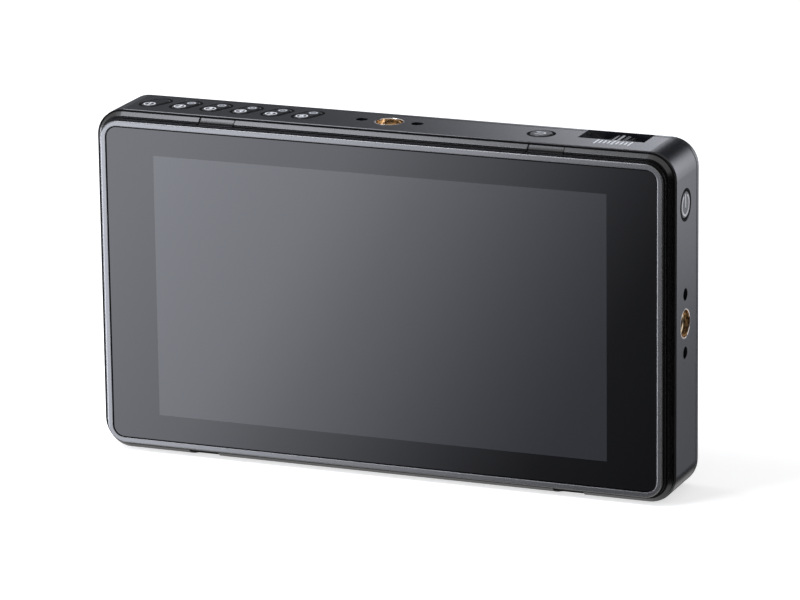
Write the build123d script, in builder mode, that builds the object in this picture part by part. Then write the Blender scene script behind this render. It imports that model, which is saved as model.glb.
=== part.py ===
"""Camera field monitor: a 5.5 inch screen in a stepped bezel, a moulded housing with keys, a menu dial,
threaded mounts on three sides, sockets on the left side and a sliding battery bay at the back.

Frame: +X to the right of the screen, +Y from the screen to the back, +Z up.
The origin is under the middle of the monitor, on the plane that it stands on. All sizes are millimetres.
"""

from build123d import *
import os
from math import atan2, cos, degrees, radians, sin

os.makedirs("parts", exist_ok=True)

# ---------------------------------------------------------------- driving dimensions
# Screen, and the borders from its picture to the body's sides and ends
active_width = 121.76
active_height = 68.49
side_border = 16.82
end_border = 10.605

# Body
body_corner = 7.0
back_edge_radius = 1.6
front_edge_bevel = 0.35
wall = 2.0

# Bezel: the steps from the body's outline in to the glass
bezel_border = 3.6
edge_step = 0.25
chamfer_width = 1.15
chamfer_depth = 1.2
land_width = 0.4
rim_depth = 0.9
step_depth = 1.4
reveal_gap = 0.5
reveal_depth = 0.9
rim_round = 0.3
ledge_thickness = 1.3
lip_length = 2.0
lip_thickness = 1.2
lip_gap = 0.1

# Clip notches in the bezel's chamfer, top and bottom
top_notch_side = 33.5
top_notch_width = 9.65
bottom_notch_side = 27.95
bottom_notch_width = 8.1
bottom_notch_depth = 0.55
bottom_notch_ramp = 2.4
bottom_notch_reach = 3.2
notch_floor_inset = 1.95
notch_floor_depth = 1.5

# Screen stack
glass_thickness = 1.1
glass_sink = 0.15
glass_gap = 0.12
glass_corner = 3.0
glass_bevel = 0.2
tape_thickness = 0.2
tape_inset = 0.3
panel_side_margin = 2.8
panel_end_margin = 3.2
panel_thickness = 1.3
panel_gap = 0.5
backlight_thickness = 2.4
backlight_inset = 0.2
sheet_thickness = 0.4
tray_gap = 0.1
tray_ear_length = 6.0
tray_ear_width = 8.0
tray_ear_offset = 24.0
flex_width = 30.0
flex_thickness = 0.2
flex_slot_height = 1.6
flex_bend = 1.0
flex_from_edge = 5.0
flex_rise = 10.0
connector_height = 1.2
connector_depth = 4.0
connector_end = 2.0

# Main board
board_thickness = 1.6
board_left_gap = 3.2
board_right_gap = 31.7
board_end_gap = 9.1
standoff_height = 4.55
standoff_radius = 2.2
standoff_inset = 6.0
standoff_left_inset = 18.5
standoff_right_inset = 8.0
chip_height = 2.0
chip_sizes = (15.0, 12.0, 8.0)
chip_across = (-14.0, 12.0, 2.0)
chip_up = (6.0, 4.0, -12.0)
pad_thickness = 0.5
spreader_thickness = 1.2
spreader_width = 58.0
spreader_height = 40.0
spreader_corner = 2.0
spreader_shift = 2.25
spreader_drop = 5.0
can_width = 16.0
can_height = 24.0
can_corner = 1.0
can_from_left = 19.5
can_from_bottom = 20.6
service_gap = 6.5

# Screws
case_screw_inset = 5.4
case_screw_radius = 1.2
case_screw_bite = 4.0
case_post_radius = 2.75
case_boss_radius = 2.5
case_joint_depth = 10.2
case_head_radius = 2.3
case_head_sink = 0.1
case_head_angle = 90
cross_length = 2.4
cross_width = 0.45
cross_depth = 0.8
screw_clearance = 0.15
screw_end_gap = 0.15
thread_clearance = 0.02
small_screw_radius = 0.8
small_head_radius = 1.5
small_head_height = 0.9
small_screw_bite = 1.8

# Keys
top_row_from_back = 9.3
side_row_from_back = 11.4
key_travel = 0.5
key_gap = 0.25
key_slack = 0.05
key_flange = 0.8
key_overhang = 0.55
key_stem_width = 1.8
key_stem_length = 0.6
key_proud = 0.15
key_edge_bevel = 0.2
function_key_count = 6
function_key_side = 12.04
function_key_pitch = 8.42
function_key_radius = 2.2
function_key_span = 4.06
function_key_tilt = 20.8
input_key_side = 38.5
input_key_radius = 2.9
power_key_drop = 14.5
power_key_radius = 3.4
switch_size = 3.0
switch_height = 1.0
switch_body_height = 0.7
switch_button_radius = 0.75
key_board_thickness = 0.8
key_rib_thickness = 0.85
rib_gap = 0.1
key_board_end = 3.2
peg_width = 0.8
peg_gap = 0.05
peg_inset = 1.0
peg_proud = 0.1

# Menu dial
dial_side = 18.5
dial_radius = 8.6
dial_thickness = 6.0
dial_below_top = 0.2
dial_rib_count = 36
dial_rib_width = 0.75
dial_rib_height = 0.45
dial_bore_gap = 0.05
dial_rim = 2.0
dial_hub = 1.2
dial_dish = 1.2
dial_press = 0.5
dial_side_gap = 0.45
axle_radius = 1.0
recess_run = 3.13
recess_margin = 0.13
recess_front_gap = 0.3
recess_back_wall = 1.5
recess_depth = 2.6
recess_ramp = 4.2
recess_floor = 0.9
recess_slot_gap = 0.3
recess_side = 1.3
cheek_thickness = 1.0
cheek_half = 4.0
carriage_base = 1.2
carriage_gap = 0.3
guide_rib = 1.1
guide_gap = 0.3
guide_height = 9.0
shelf_thickness = 3.0
dial_board_lead = 1.0
dial_board_margin = 2.0
encoder_size = 7.0
encoder_depth = 1.6
encoder_corner = 0.8

# Threaded mounts, 1/4 inch with 20 threads to the inch, with two locating holes beside each
mount_x = -1.4
thread_wall_radius = 2.55
insert_radius = 3.85
insert_body_radius = 3.45
insert_flange = 1.0
insert_length = 6.0
insert_mouth_bevel = 0.5
screw_run_out = 1.0
thread_depth = 0.35
locating_spacing = 15.0
locating_radius = 1.6
locating_depth = 4.0
mount_block_gap = 0.3
mount_block_length = 21.4
mount_block_floor = 1.0

# Sockets on the left side, from the bottom up
socket_recess = 0.8
socket_gap = 0.3
shell_thickness = 0.4
hdmi_width = 15.0
hdmi_height = 5.6
hdmi_length = 11.5
hdmi_tongue_width = 11.0
hdmi_tongue_thickness = 1.2
hdmi_corner = 1.3
usb_width = 9.0
usb_height = 3.4
usb_length = 7.5
usb_tongue_width = 6.6
usb_tongue_thickness = 0.7
headphone_hole = 1.8
headphone_barrel = 2.8
headphone_body = 6.0
headphone_length = 12.0
power_jack_hole = 2.9
power_jack_pin = 1.0
power_jack_body = 7.6
power_jack_barrel = 3.6
power_jack_length = 11.0
tongue_setback = 1.2
socket_back = 1.0
jack_back = 1.5

# Battery bay, for a slide-in camcorder battery
battery_slide = 6.8
bay_top = 7.9
bay_width = 39.6
bay_depth = 3.0
bay_floor = 1.4
bay_wall = 1.5
bay_bottom = 4.2
bay_gap = 0.1
hook_reach = 1.3
hook_thickness = 1.2
hook_length = 9.0
hook_first = 18.0
hook_spacing = 34.0
contact_block_width = 22.0
contact_block_length = 6.0
contact_block_height = 2.6
contact_pitch = 7.0
contact_width = 1.2
contact_length = 4.0
contact_sink = 0.3
contact_slot_gap = 0.05
block_slot_side = 0.5
block_slot_end = 0.3
contact_tail = 0.2
plate_ear = 6.0
plate_ear_first = 8.0
plate_ear_spacing = 48.0
plate_pad_radius = 2.2

# Battery latch
latch_travel = 1.8
latch_tongue_height = 1.6
latch_half_width = 4.0
latch_length = 4.0
latch_gap = 0.3
latch_bar_thickness = 1.4
latch_bar_gap = 0.4
release_offset = 8.2
release_width = 7.0
release_proud = 0.6
release_corner = 1.3
guide_x = 12.0
guide_width = 8.0
guide_thickness = 0.6
guide_clearance = 0.6
spring_radius = 1.5
spring_wire = 0.3
spring_turns = 3

# Vents in the back
vent_count = 7
vent_pitch = 4.2
vent_length = 22.0
vent_width = 1.6
vent_side = 29.7
vent_up = 36.0

# ---------------------------------------------------------------- derived places
# Overall sizes: the picture and its borders, and what is stacked from the screen to the back
body_width = active_width + 2 * side_border
body_height = active_height + 2 * end_border
screen_depth = glass_sink + glass_thickness + panel_thickness + backlight_thickness + sheet_thickness
body_depth = screen_depth + standoff_height + board_thickness + service_gap + bay_floor + bay_depth
overall_depth = body_depth + release_proud
front_y = -overall_depth / 2
back_y = front_y + body_depth
inner_back = back_y - wall
mid_z = body_height / 2
half_width = body_width / 2

# Bezel
rim_inset = edge_step + chamfer_width + 2 * land_width
step_inset = edge_step + chamfer_width + land_width
band_front = rim_depth + step_depth
band_back = band_front + chamfer_depth
bezel_back = band_back + reveal_gap
housing_front = front_y + bezel_back
top_notches = [-half_width + top_notch_side, half_width - top_notch_side]
bottom_notches = [-half_width + bottom_notch_side, half_width - bottom_notch_side]

# Screen stack
glass_width = body_width - 2 * (bezel_border + glass_gap)
glass_height = body_height - 2 * (bezel_border + glass_gap)
glass_back = front_y + glass_sink + glass_thickness
ledge_front = glass_back + tape_thickness
ledge_back = ledge_front + ledge_thickness
panel_width = active_width + 2 * panel_side_margin
panel_height = active_height + 2 * panel_end_margin
panel_back = glass_back + panel_thickness
backlight_back = panel_back + backlight_thickness
tray_back = backlight_back + sheet_thickness
tray_width = panel_width + 2 * (tray_gap + sheet_thickness - backlight_inset)
tray_height = panel_height + 2 * (tray_gap + sheet_thickness - backlight_inset)
ear_x = (tray_width + tray_ear_length - sheet_thickness) / 2
ear_places = [(x, mid_z + z) for x in (-ear_x, ear_x) for z in (-tray_ear_offset, tray_ear_offset)]
flex_z = mid_z - tray_height / 2 + flex_from_edge
connector_z = flex_z + flex_rise

# Main board
board_y = tray_back + standoff_height
board_back = board_y + board_thickness
board_left = -half_width + board_left_gap
board_right = half_width - board_right_gap
board_bottom = board_end_gap
board_top = body_height - board_end_gap
standoff_places = [
    (x, z)
    for x in (board_left + standoff_left_inset, board_right - standoff_right_inset)
    for z in (board_bottom + standoff_inset, board_top - standoff_inset)
]
spreader_x = (board_left + board_right) / 2 + spreader_shift
spreader_z = (board_bottom + board_top) / 2 - spreader_drop
spreader_front = board_back + chip_height + pad_thickness
can_place = (board_left + can_from_left, board_bottom + can_from_bottom)

# Case screws
case_joint = front_y + case_joint_depth
screw_x = half_width - case_screw_inset
screw_z = mid_z - case_screw_inset
case_screw_places = [(x, mid_z + z) for x in (-screw_x, screw_x) for z in (-screw_z, screw_z)]

# Keys: depths below a wall's outer face, going in, then their rows
flange_depth = wall + key_slack
stem_depth = flange_depth + key_flange
switch_depth = stem_depth + key_stem_length + key_slack + key_travel
key_board_depth = switch_depth + switch_height
function_key_reach = function_key_span / 2 * cos(radians(function_key_tilt)) + function_key_radius
rib_face = max(function_key_reach, input_key_radius, power_key_radius) + key_overhang + rib_gap
rib_offset = rib_face + key_rib_thickness / 2
key_board_half = rib_face + key_rib_thickness
top_row_y = back_y - top_row_from_back
side_row_y = back_y - side_row_from_back
function_key_first = -half_width + function_key_side
function_key_x = [function_key_first + i * function_key_pitch for i in range(function_key_count)]
function_span = (function_key_x[0] - key_board_end, function_key_x[-1] + key_board_end)
input_key_x = half_width - input_key_side
input_span = (input_key_x - key_board_end, input_key_x + key_board_end)
power_key_z = body_height - power_key_drop
power_span = (-key_board_end, key_board_end)

# Menu dial, from the back wall forward and from the top down
dial_x = half_width - dial_side
dial_z = body_height - dial_below_top - dial_radius
dial_back = inner_back - carriage_gap - cheek_thickness - dial_side_gap
dial_front = dial_back - dial_thickness
front_cheek = dial_front - dial_side_gap
back_cheek = dial_back + dial_side_gap
carriage_top = dial_z - dial_radius - dial_side_gap
carriage_bottom = carriage_top - carriage_base
dial_board_top = carriage_bottom - key_slack - dial_press - switch_height
dial_board_front = front_cheek + dial_board_lead
dial_board_back = inner_back - key_slack
slot_drop = recess_depth + recess_floor - dial_below_top
slot_half = (dial_radius**2 - (dial_radius - slot_drop) ** 2) ** 0.5 + recess_slot_gap
recess_left = dial_x - slot_half - recess_run
recess_right = dial_x + slot_half + recess_margin
recess_front = dial_front - recess_front_gap
recess_back = back_y - recess_back_wall

# Threaded mounts
insert_hole_depth = insert_length + screw_run_out
mount_block_depth = insert_hole_depth + mount_block_floor

# Battery bay and latch
bay_height = body_height - bay_bottom - bay_top
bay_z = bay_bottom + bay_height / 2
battery_length = bay_height - battery_slide
plate_back = back_y - bay_depth
plate_front = plate_back - bay_floor
tray_outer_width = bay_width + 2 * bay_wall
tray_outer_height = bay_height + 2 * bay_wall
plate_ear_x = (tray_outer_width + plate_ear) / 2
plate_ear_z = [bay_bottom + plate_ear_first, bay_bottom + plate_ear_first + plate_ear_spacing]
plate_ear_places = [(x, z) for x in (-plate_ear_x, plate_ear_x) for z in plate_ear_z]
contact_z = bay_bottom + contact_block_length / 2
contact_places = [(-contact_pitch, contact_z), (0, contact_z), (contact_pitch, contact_z)]
latch_z = bay_bottom + battery_length + latch_gap + latch_length / 2
release_x = tray_outer_width / 2 + release_offset
mount_block_half = plate_front - mount_block_gap - top_row_y
bar_back = plate_front - latch_bar_gap
bar_front = bar_back - latch_bar_thickness
vent_x = half_width - vent_side


# ---------------------------------------------------------------- planes and outlines
def view(y):
    """Plane seen from the front at depth y: local x is +X, local y is +Z from the screen's centre."""
    return Plane(origin=(0, y, mid_z), x_dir=(1, 0, 0), z_dir=(0, -1, 0))


def ground_view(y):
    """The same plane with local y counted from the ground."""
    return Plane(origin=(0, y, 0), x_dir=(1, 0, 0), z_dir=(0, -1, 0))


top_plane = Plane(origin=(0, top_row_y, body_height), x_dir=(1, 0, 0), z_dir=(0, 0, 1))
power_plane = Plane(origin=(half_width, side_row_y, power_key_z), x_dir=(0, 1, 0), z_dir=(1, 0, 0))
# Looks inwards: local x is +Y from the main board's back, local y is +Z, extruding goes into the body
left_plane = Plane(origin=(-half_width, board_back, 0), x_dir=(0, 1, 0), z_dir=(1, 0, 0))


def outline(inset):
    """The body's rounded outline, moved in by inset."""
    RectangleRounded(body_width - 2 * inset, body_height - 2 * inset, body_corner - inset)


def keep(builder, name):
    """Label a finished piece and write it."""
    builder.part.label = name
    export_step(builder.part, f"parts/{name}.step")


# ---------------------------------------------------------------- front bezel
def scoop(x, width, at_top):
    """Cut a concave clip notch through the chamfer, drawn as (depth, inset) across the edge."""
    start = (band_back, edge_step)
    end = (notch_floor_depth, notch_floor_inset)
    bulge = (0.7 * start[0] + 0.3 * end[0], 0.3 * start[1] + 0.7 * end[1])
    edge_z = body_height if at_top else 0
    side = -1 if at_top else 1
    across = Plane(origin=(x - width / 2, front_y, edge_z), x_dir=(0, 1, 0), z_dir=(side, 0, 0))
    with BuildSketch(across) as drawn:
        with BuildLine():
            ThreePointArc(start, bulge, end)
            Polyline(end, (0, notch_floor_inset), (0, -1), (band_back, -1), start)
        make_face()
    extrude(drawn.sketch, amount=side * width, mode=Mode.SUBTRACT)


def notch_bottom_edge():
    """Cut the two bottom clip notches, each with a ramp at its left end, from the part being built."""
    back = housing_front + bottom_notch_reach
    with BuildSketch(ground_view(back)) as drawn:
        for x in bottom_notches:
            left = x - bottom_notch_width / 2
            right = x + bottom_notch_width / 2
            with BuildLine():
                Polyline(
                    (left, 0),
                    (left + bottom_notch_ramp, bottom_notch_depth),
                    (right, bottom_notch_depth),
                    (right, -1),
                    (left, -1),
                    close=True,
                )
            make_face()
    extrude(drawn.sketch, amount=back - front_y - rim_depth - step_depth, mode=Mode.SUBTRACT)


with BuildPart() as front_bezel:
    # Rim, step and chamfered band, from the front back
    with BuildSketch(view(front_y + rim_depth)):
        outline(rim_inset)
    extrude(amount=rim_depth)
    fillet(front_bezel.faces().sort_by(Axis.Y)[0].edges(), rim_round)
    with BuildSketch(view(front_y + band_front)):
        outline(step_inset)
    extrude(amount=step_depth)
    with BuildSketch(view(front_y + band_back)):
        outline(edge_step)
    extrude(amount=chamfer_depth, taper=degrees(atan2(chamfer_width, chamfer_depth)))
    # Seat on the housing, behind a shadow gap, and the lip that centres the bezel in it
    with BuildSketch(view(housing_front)):
        outline(edge_step + reveal_depth)
    extrude(amount=reveal_gap)
    with BuildSketch(view(housing_front + lip_length)):
        outline(wall + lip_gap)
    extrude(amount=lip_length)
    # Pocket for the glass, window for the panel, hollow behind the ledge
    with BuildSketch(view(ledge_front)):
        RectangleRounded(glass_width + 2 * glass_gap, glass_height + 2 * glass_gap, glass_corner + glass_gap)
    extrude(amount=ledge_front - front_y, mode=Mode.SUBTRACT)
    with BuildSketch(view(housing_front + lip_length)):
        Rectangle(panel_width + 2 * panel_gap, panel_height + 2 * panel_gap)
    extrude(amount=housing_front + lip_length - front_y, mode=Mode.SUBTRACT)
    with BuildSketch(view(housing_front + lip_length)):
        outline(wall + lip_gap + lip_thickness)
    extrude(amount=housing_front + lip_length - ledge_back, mode=Mode.SUBTRACT)
    # Corner bosses that take the case screws
    with BuildSketch(ground_view(case_joint)):
        with Locations(*case_screw_places):
            Circle(case_boss_radius)
    extrude(amount=case_joint - ledge_back)
    with BuildSketch(ground_view(case_joint)):
        with Locations(*case_screw_places):
            Circle(case_screw_radius + thread_clearance)
    extrude(amount=case_joint - ledge_back, mode=Mode.SUBTRACT)
    # Pilot holes for the tray's ear screws
    with BuildSketch(ground_view(ledge_back)):
        with Locations(*ear_places):
            Circle(small_screw_radius + thread_clearance)
    extrude(amount=ledge_thickness, mode=Mode.SUBTRACT)
    # Clip notches along the top edge, then the bottom edge
    for notch_x in top_notches:
        scoop(notch_x, top_notch_width, at_top=True)
    for notch_x in bottom_notches:
        scoop(notch_x, bottom_notch_width, at_top=False)
    notch_bottom_edge()
keep(front_bezel, "front_bezel")

# ---------------------------------------------------------------- screen stack
with BuildPart() as cover_glass:
    with BuildSketch(view(glass_back)):
        RectangleRounded(glass_width, glass_height, glass_corner)
    extrude(amount=glass_thickness)
    chamfer(cover_glass.faces().sort_by(Axis.Y)[0].edges(), glass_bevel)
keep(cover_glass, "cover_glass")

with BuildPart() as glass_tape:
    with BuildSketch(view(ledge_front)):
        edge = 2 * tape_inset
        RectangleRounded(glass_width - edge, glass_height - edge, glass_corner - tape_inset)
        Rectangle(panel_width + 2 * panel_gap, panel_height + 2 * panel_gap, mode=Mode.SUBTRACT)
    extrude(amount=tape_thickness)
keep(glass_tape, "glass_tape")

with BuildPart() as lcd_panel:
    with BuildSketch(view(panel_back)):
        Rectangle(panel_width, panel_height)
    extrude(amount=panel_thickness)
keep(lcd_panel, "lcd_panel")

with BuildPart() as backlight_unit:
    with BuildSketch(view(backlight_back)):
        Rectangle(panel_width - 2 * backlight_inset, panel_height - 2 * backlight_inset)
    extrude(amount=backlight_thickness)
keep(backlight_unit, "backlight_unit")

with BuildPart() as panel_tray:
    with BuildSketch(view(tray_back)):
        Rectangle(tray_width, tray_height)
    extrude(amount=tray_back - ledge_back)
    with BuildSketch(view(backlight_back)):
        Rectangle(tray_width - 2 * sheet_thickness, tray_height - 2 * sheet_thickness)
    extrude(amount=backlight_back - ledge_back, mode=Mode.SUBTRACT)
    # Ears that lie on the bezel's ledge, at both sides
    with BuildSketch(ground_view(ledge_back + sheet_thickness)):
        with Locations(*ear_places):
            Rectangle(tray_ear_length, tray_ear_width)
            Circle(small_screw_radius + screw_clearance, mode=Mode.SUBTRACT)
    extrude(amount=sheet_thickness)
    # Slot that lets the display's ribbon out
    with BuildSketch(ground_view(tray_back)):
        with Locations((0, flex_z)):
            Rectangle(flex_width + connector_end, flex_slot_height)
    extrude(amount=sheet_thickness, mode=Mode.SUBTRACT)
keep(panel_tray, "panel_tray")


def small_screws(seat_y, places, bite, forward=1):
    """Pan-head screws with their heads on seat_y; forward is 1 towards the screen, -1 towards the back."""
    with BuildSketch(ground_view(seat_y)) as drawn:
        with Locations(*places):
            Circle(small_head_radius)
    extrude(drawn.sketch, amount=-forward * small_head_height)
    with BuildSketch(ground_view(seat_y)) as drawn:
        with Locations(*places):
            Circle(small_screw_radius)
    extrude(drawn.sketch, amount=forward * bite)


with BuildPart() as tray_screws:
    small_screws(ledge_back + sheet_thickness, ear_places, sheet_thickness + ledge_thickness - screw_end_gap)
keep(tray_screws, "tray_screws")

# ---------------------------------------------------------------- main board
standoff_hole = small_screw_radius + thread_clearance

with BuildPart() as board_standoffs:
    with BuildSketch(ground_view(board_y)):
        with Locations(*standoff_places):
            RegularPolygon(standoff_radius, 6)
    extrude(amount=board_y - tray_back)
    with BuildSketch(ground_view(board_y)):
        with Locations(*standoff_places):
            Circle(standoff_hole)
    extrude(amount=small_screw_bite, mode=Mode.SUBTRACT)
keep(board_standoffs, "board_standoffs")

with BuildPart() as main_board:
    with BuildSketch(ground_view(board_back)):
        with Locations(((board_left + board_right) / 2, (board_bottom + board_top) / 2)):
            Rectangle(board_right - board_left, board_top - board_bottom)
        with Locations(*standoff_places):
            Circle(small_screw_radius + screw_clearance, mode=Mode.SUBTRACT)
    extrude(amount=board_thickness)
keep(main_board, "main_board")

with BuildPart() as board_screws:
    small_screws(board_back, standoff_places, board_thickness + small_screw_bite - screw_end_gap)
keep(board_screws, "board_screws")


def chip_squares():
    """The squares of the chips under the heat spreader."""
    for across, up, size in zip(chip_across, chip_up, chip_sizes):
        with Locations((spreader_x + across, spreader_z + up)):
            Rectangle(size, size)


with BuildPart() as board_chips:
    with BuildSketch(ground_view(board_back + chip_height)):
        chip_squares()
    extrude(amount=chip_height)
keep(board_chips, "board_chips")

with BuildPart() as thermal_pads:
    with BuildSketch(ground_view(spreader_front)):
        chip_squares()
    extrude(amount=pad_thickness)
keep(thermal_pads, "thermal_pads")

with BuildPart() as heat_spreader:
    with BuildSketch(ground_view(spreader_front + spreader_thickness)):
        with Locations((spreader_x, spreader_z)):
            RectangleRounded(spreader_width, spreader_height, spreader_corner)
    extrude(amount=spreader_thickness)
keep(heat_spreader, "heat_spreader")

with BuildPart() as shield_can:
    with BuildSketch(ground_view(board_back + chip_height)):
        with Locations(can_place):
            RectangleRounded(can_width, can_height, can_corner)
    extrude(amount=chip_height)
    with BuildSketch(ground_view(board_back + chip_height - sheet_thickness)):
        with Locations(can_place):
            Rectangle(can_width - 2 * sheet_thickness, can_height - 2 * sheet_thickness)
    extrude(amount=chip_height - sheet_thickness, mode=Mode.SUBTRACT)
keep(shield_can, "shield_can")

# Ribbon from the back of the screen to its connector on the front of the board
with BuildPart() as display_connector:
    with BuildSketch(ground_view(board_y)):
        with Locations((0, connector_z)):
            Rectangle(flex_width + 2 * connector_end, connector_depth)
    extrude(amount=connector_height)
    with BuildSketch(Plane.XY.offset(connector_z - connector_depth / 2)):
        with Locations((0, board_y - connector_height / 2)):
            Rectangle(flex_width + 2 * flex_thickness, 2 * flex_thickness)
    extrude(amount=connector_depth / 2, mode=Mode.SUBTRACT)
keep(display_connector, "display_connector")

with BuildPart() as display_flex:
    flex_y = board_y - connector_height / 2
    with BuildSketch(Plane.YZ.offset(-flex_width / 2)):
        with BuildLine():
            FilletPolyline(
                (backlight_back, flex_z),
                (flex_y, flex_z),
                (flex_y, connector_z - flex_thickness),
                radius=flex_bend,
            )
        trace(line_width=flex_thickness)
    extrude(amount=flex_width)
keep(display_flex, "display_flex")


# ---------------------------------------------------------------- keys, their switches and boards
def function_shape(growth):
    """A function key's slanted slot outline, grown by a margin."""
    turn = 90 - function_key_tilt
    SlotCenterToCenter(function_key_span, 2 * (function_key_radius + growth), rotation=turn)


def input_shape(growth):
    """The input key's round outline."""
    Circle(input_key_radius + growth)


def power_shape(growth):
    """The power key's round outline."""
    Circle(power_key_radius + growth)


def key_cap(plane, x, shape, proud):
    """Cap through the wall, flange that stops against its inside, and the stem that meets the switch."""
    with BuildSketch(plane.offset(proud)) as drawn:
        with Locations((x, 0)):
            shape(0)
    cap = extrude(drawn.sketch, amount=-proud - flange_depth)
    outward = Axis(plane.origin, plane.z_dir)
    chamfer(cap.faces().sort_by(outward)[-1].edges(), key_edge_bevel)
    with BuildSketch(plane.offset(-flange_depth)) as drawn:
        with Locations((x, 0)):
            shape(key_overhang)
    extrude(drawn.sketch, amount=-key_flange)
    with BuildSketch(plane.offset(-stem_depth)) as drawn:
        with Locations((x, 0)):
            Rectangle(key_stem_width, key_stem_width)
    extrude(drawn.sketch, amount=-key_stem_length)


def peg_places(span):
    """Where the four pegs stand on the two ribs under a key board."""
    ends = (span[0] + peg_inset, span[1] - peg_inset)
    return [(x, y) for x in ends for y in (-rib_offset, rib_offset)]


def key_board(plane, span):
    """Circuit board on the ribs' pegs."""
    with BuildSketch(plane.offset(-key_board_depth)) as drawn:
        with Locations(((span[0] + span[1]) / 2, 0)):
            Rectangle(span[1] - span[0], 2 * key_board_half)
        with Locations(*peg_places(span)):
            Rectangle(peg_width + 2 * peg_gap, peg_width + 2 * peg_gap, mode=Mode.SUBTRACT)
    extrude(drawn.sketch, amount=-key_board_thickness)


def key_switches(plane, xs):
    """Tact switches on a key board, drawn at their pressed height."""
    with BuildSketch(plane.offset(-key_board_depth)) as drawn:
        with Locations(*[(x, 0) for x in xs]):
            Rectangle(switch_size, switch_size)
    extrude(drawn.sketch, amount=switch_body_height)
    with BuildSketch(plane.offset(-key_board_depth)) as drawn:
        with Locations(*[(x, 0) for x in xs]):
            Circle(switch_button_radius)
    extrude(drawn.sketch, amount=switch_height)


for number, key_x in enumerate(function_key_x, start=1):
    with BuildPart() as function_key:
        key_cap(top_plane, key_x, function_shape, key_proud)
    keep(function_key, f"function_key_{number}")

with BuildPart() as input_key:
    key_cap(top_plane, input_key_x, input_shape, key_proud)
keep(input_key, "input_key")

with BuildPart() as power_key:
    key_cap(power_plane, 0, power_shape, 0)
keep(power_key, "power_key")

key_groups = {
    "function_key": (top_plane, function_span, function_key_x),
    "input_key": (top_plane, input_span, [input_key_x]),
    "power_key": (power_plane, power_span, [0]),
}
for group, (group_plane, group_span, group_x) in key_groups.items():
    with BuildPart() as group_board:
        key_board(group_plane, group_span)
    keep(group_board, f"{group}_board")
    with BuildPart() as group_switches:
        key_switches(group_plane, group_x)
    keep(group_switches, f"{group}_switches" if len(group_x) > 1 else f"{group}_switch")

# ---------------------------------------------------------------- menu dial and its press carriage
with BuildPart() as menu_dial:
    with BuildSketch(ground_view(dial_back)):
        with Locations((dial_x, dial_z)):
            Circle(dial_radius - dial_rib_height)
            with PolarLocations(dial_radius - dial_rib_height, dial_rib_count):
                Rectangle(2 * dial_rib_height, dial_rib_width)
            Circle(axle_radius + dial_bore_gap, mode=Mode.SUBTRACT)
    extrude(amount=dial_thickness)
    # Dished faces, so that the rim stands out on both sides
    for face_y, inwards in ((dial_front, -1), (dial_back, 1)):
        with BuildSketch(ground_view(face_y)):
            with Locations((dial_x, dial_z)):
                Circle(dial_radius - dial_rim)
                Circle(axle_radius + dial_hub, mode=Mode.SUBTRACT)
        extrude(amount=inwards * dial_dish, mode=Mode.SUBTRACT)
keep(menu_dial, "menu_dial")

with BuildPart() as dial_axle:
    axle_back = back_cheek + cheek_thickness
    axle_front = front_cheek - cheek_thickness - encoder_depth / 2
    with BuildSketch(ground_view(axle_back)):
        with Locations((dial_x, dial_z)):
            Circle(axle_radius)
    extrude(amount=axle_back - axle_front)
keep(dial_axle, "dial_axle")

with BuildPart() as dial_carriage:
    for cheek_back in (front_cheek, back_cheek + cheek_thickness):
        with BuildSketch(ground_view(cheek_back)):
            with BuildLine():
                Polyline(
                    (dial_x - cheek_half, dial_z),
                    (dial_x - cheek_half, carriage_bottom),
                    (dial_x + cheek_half, carriage_bottom),
                    (dial_x + cheek_half, dial_z),
                )
                ThreePointArc(
                    (dial_x + cheek_half, dial_z),
                    (dial_x, dial_z + cheek_half),
                    (dial_x - cheek_half, dial_z),
                )
            make_face()
            with Locations((dial_x, dial_z)):
                Circle(axle_radius + thread_clearance, mode=Mode.SUBTRACT)
        extrude(amount=cheek_thickness)
    with BuildSketch(ground_view(back_cheek + cheek_thickness)):
        with Locations((dial_x, (carriage_top + carriage_bottom) / 2)):
            Rectangle(2 * cheek_half, carriage_base)
    extrude(amount=back_cheek - front_cheek + 2 * cheek_thickness)
keep(dial_carriage, "dial_carriage")

with BuildPart() as dial_encoder:
    encoder_back = front_cheek - cheek_thickness
    with BuildSketch(ground_view(encoder_back)):
        with Locations((dial_x, dial_z)):
            RectangleRounded(encoder_size, encoder_size, encoder_corner)
    extrude(amount=encoder_depth)
    with BuildSketch(ground_view(encoder_back)):
        with Locations((dial_x, dial_z)):
            Circle(axle_radius + thread_clearance)
    extrude(amount=encoder_depth / 2, mode=Mode.SUBTRACT)
keep(dial_encoder, "dial_encoder")

with BuildPart() as dial_board:
    with BuildSketch(Plane.XY.offset(dial_board_top)):
        with Locations((dial_x, (dial_board_front + dial_board_back) / 2)):
            Rectangle(2 * (cheek_half + dial_board_margin), dial_board_back - dial_board_front)
    extrude(amount=-key_board_thickness)
keep(dial_board, "dial_board")

with BuildPart() as dial_switch:
    with BuildSketch(Plane.XY.offset(dial_board_top)):
        with Locations((dial_x, (front_cheek + back_cheek) / 2)):
            Rectangle(switch_size, switch_size)
    extrude(amount=switch_body_height)
    with BuildSketch(Plane.XY.offset(dial_board_top)):
        with Locations((dial_x, (front_cheek + back_cheek) / 2)):
            Circle(switch_button_radius)
    extrude(amount=switch_height)
keep(dial_switch, "dial_switch")

# ---------------------------------------------------------------- threaded mounts
# Local x runs along the row of holes, local y across the body
top_mount = Plane(origin=(mount_x, top_row_y, body_height), x_dir=(1, 0, 0), z_dir=(0, 0, 1))
bottom_mount = Plane(origin=(mount_x, top_row_y, 0), x_dir=(-1, 0, 0), z_dir=(0, 0, -1))
side_mount = Plane(origin=(half_width, side_row_y, mid_z), x_dir=(0, 0, 1), z_dir=(1, 0, 0))
mounts = {
    "top_mount_insert": top_mount,
    "side_mount_insert": side_mount,
    "bottom_mount_insert": bottom_mount,
}


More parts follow.
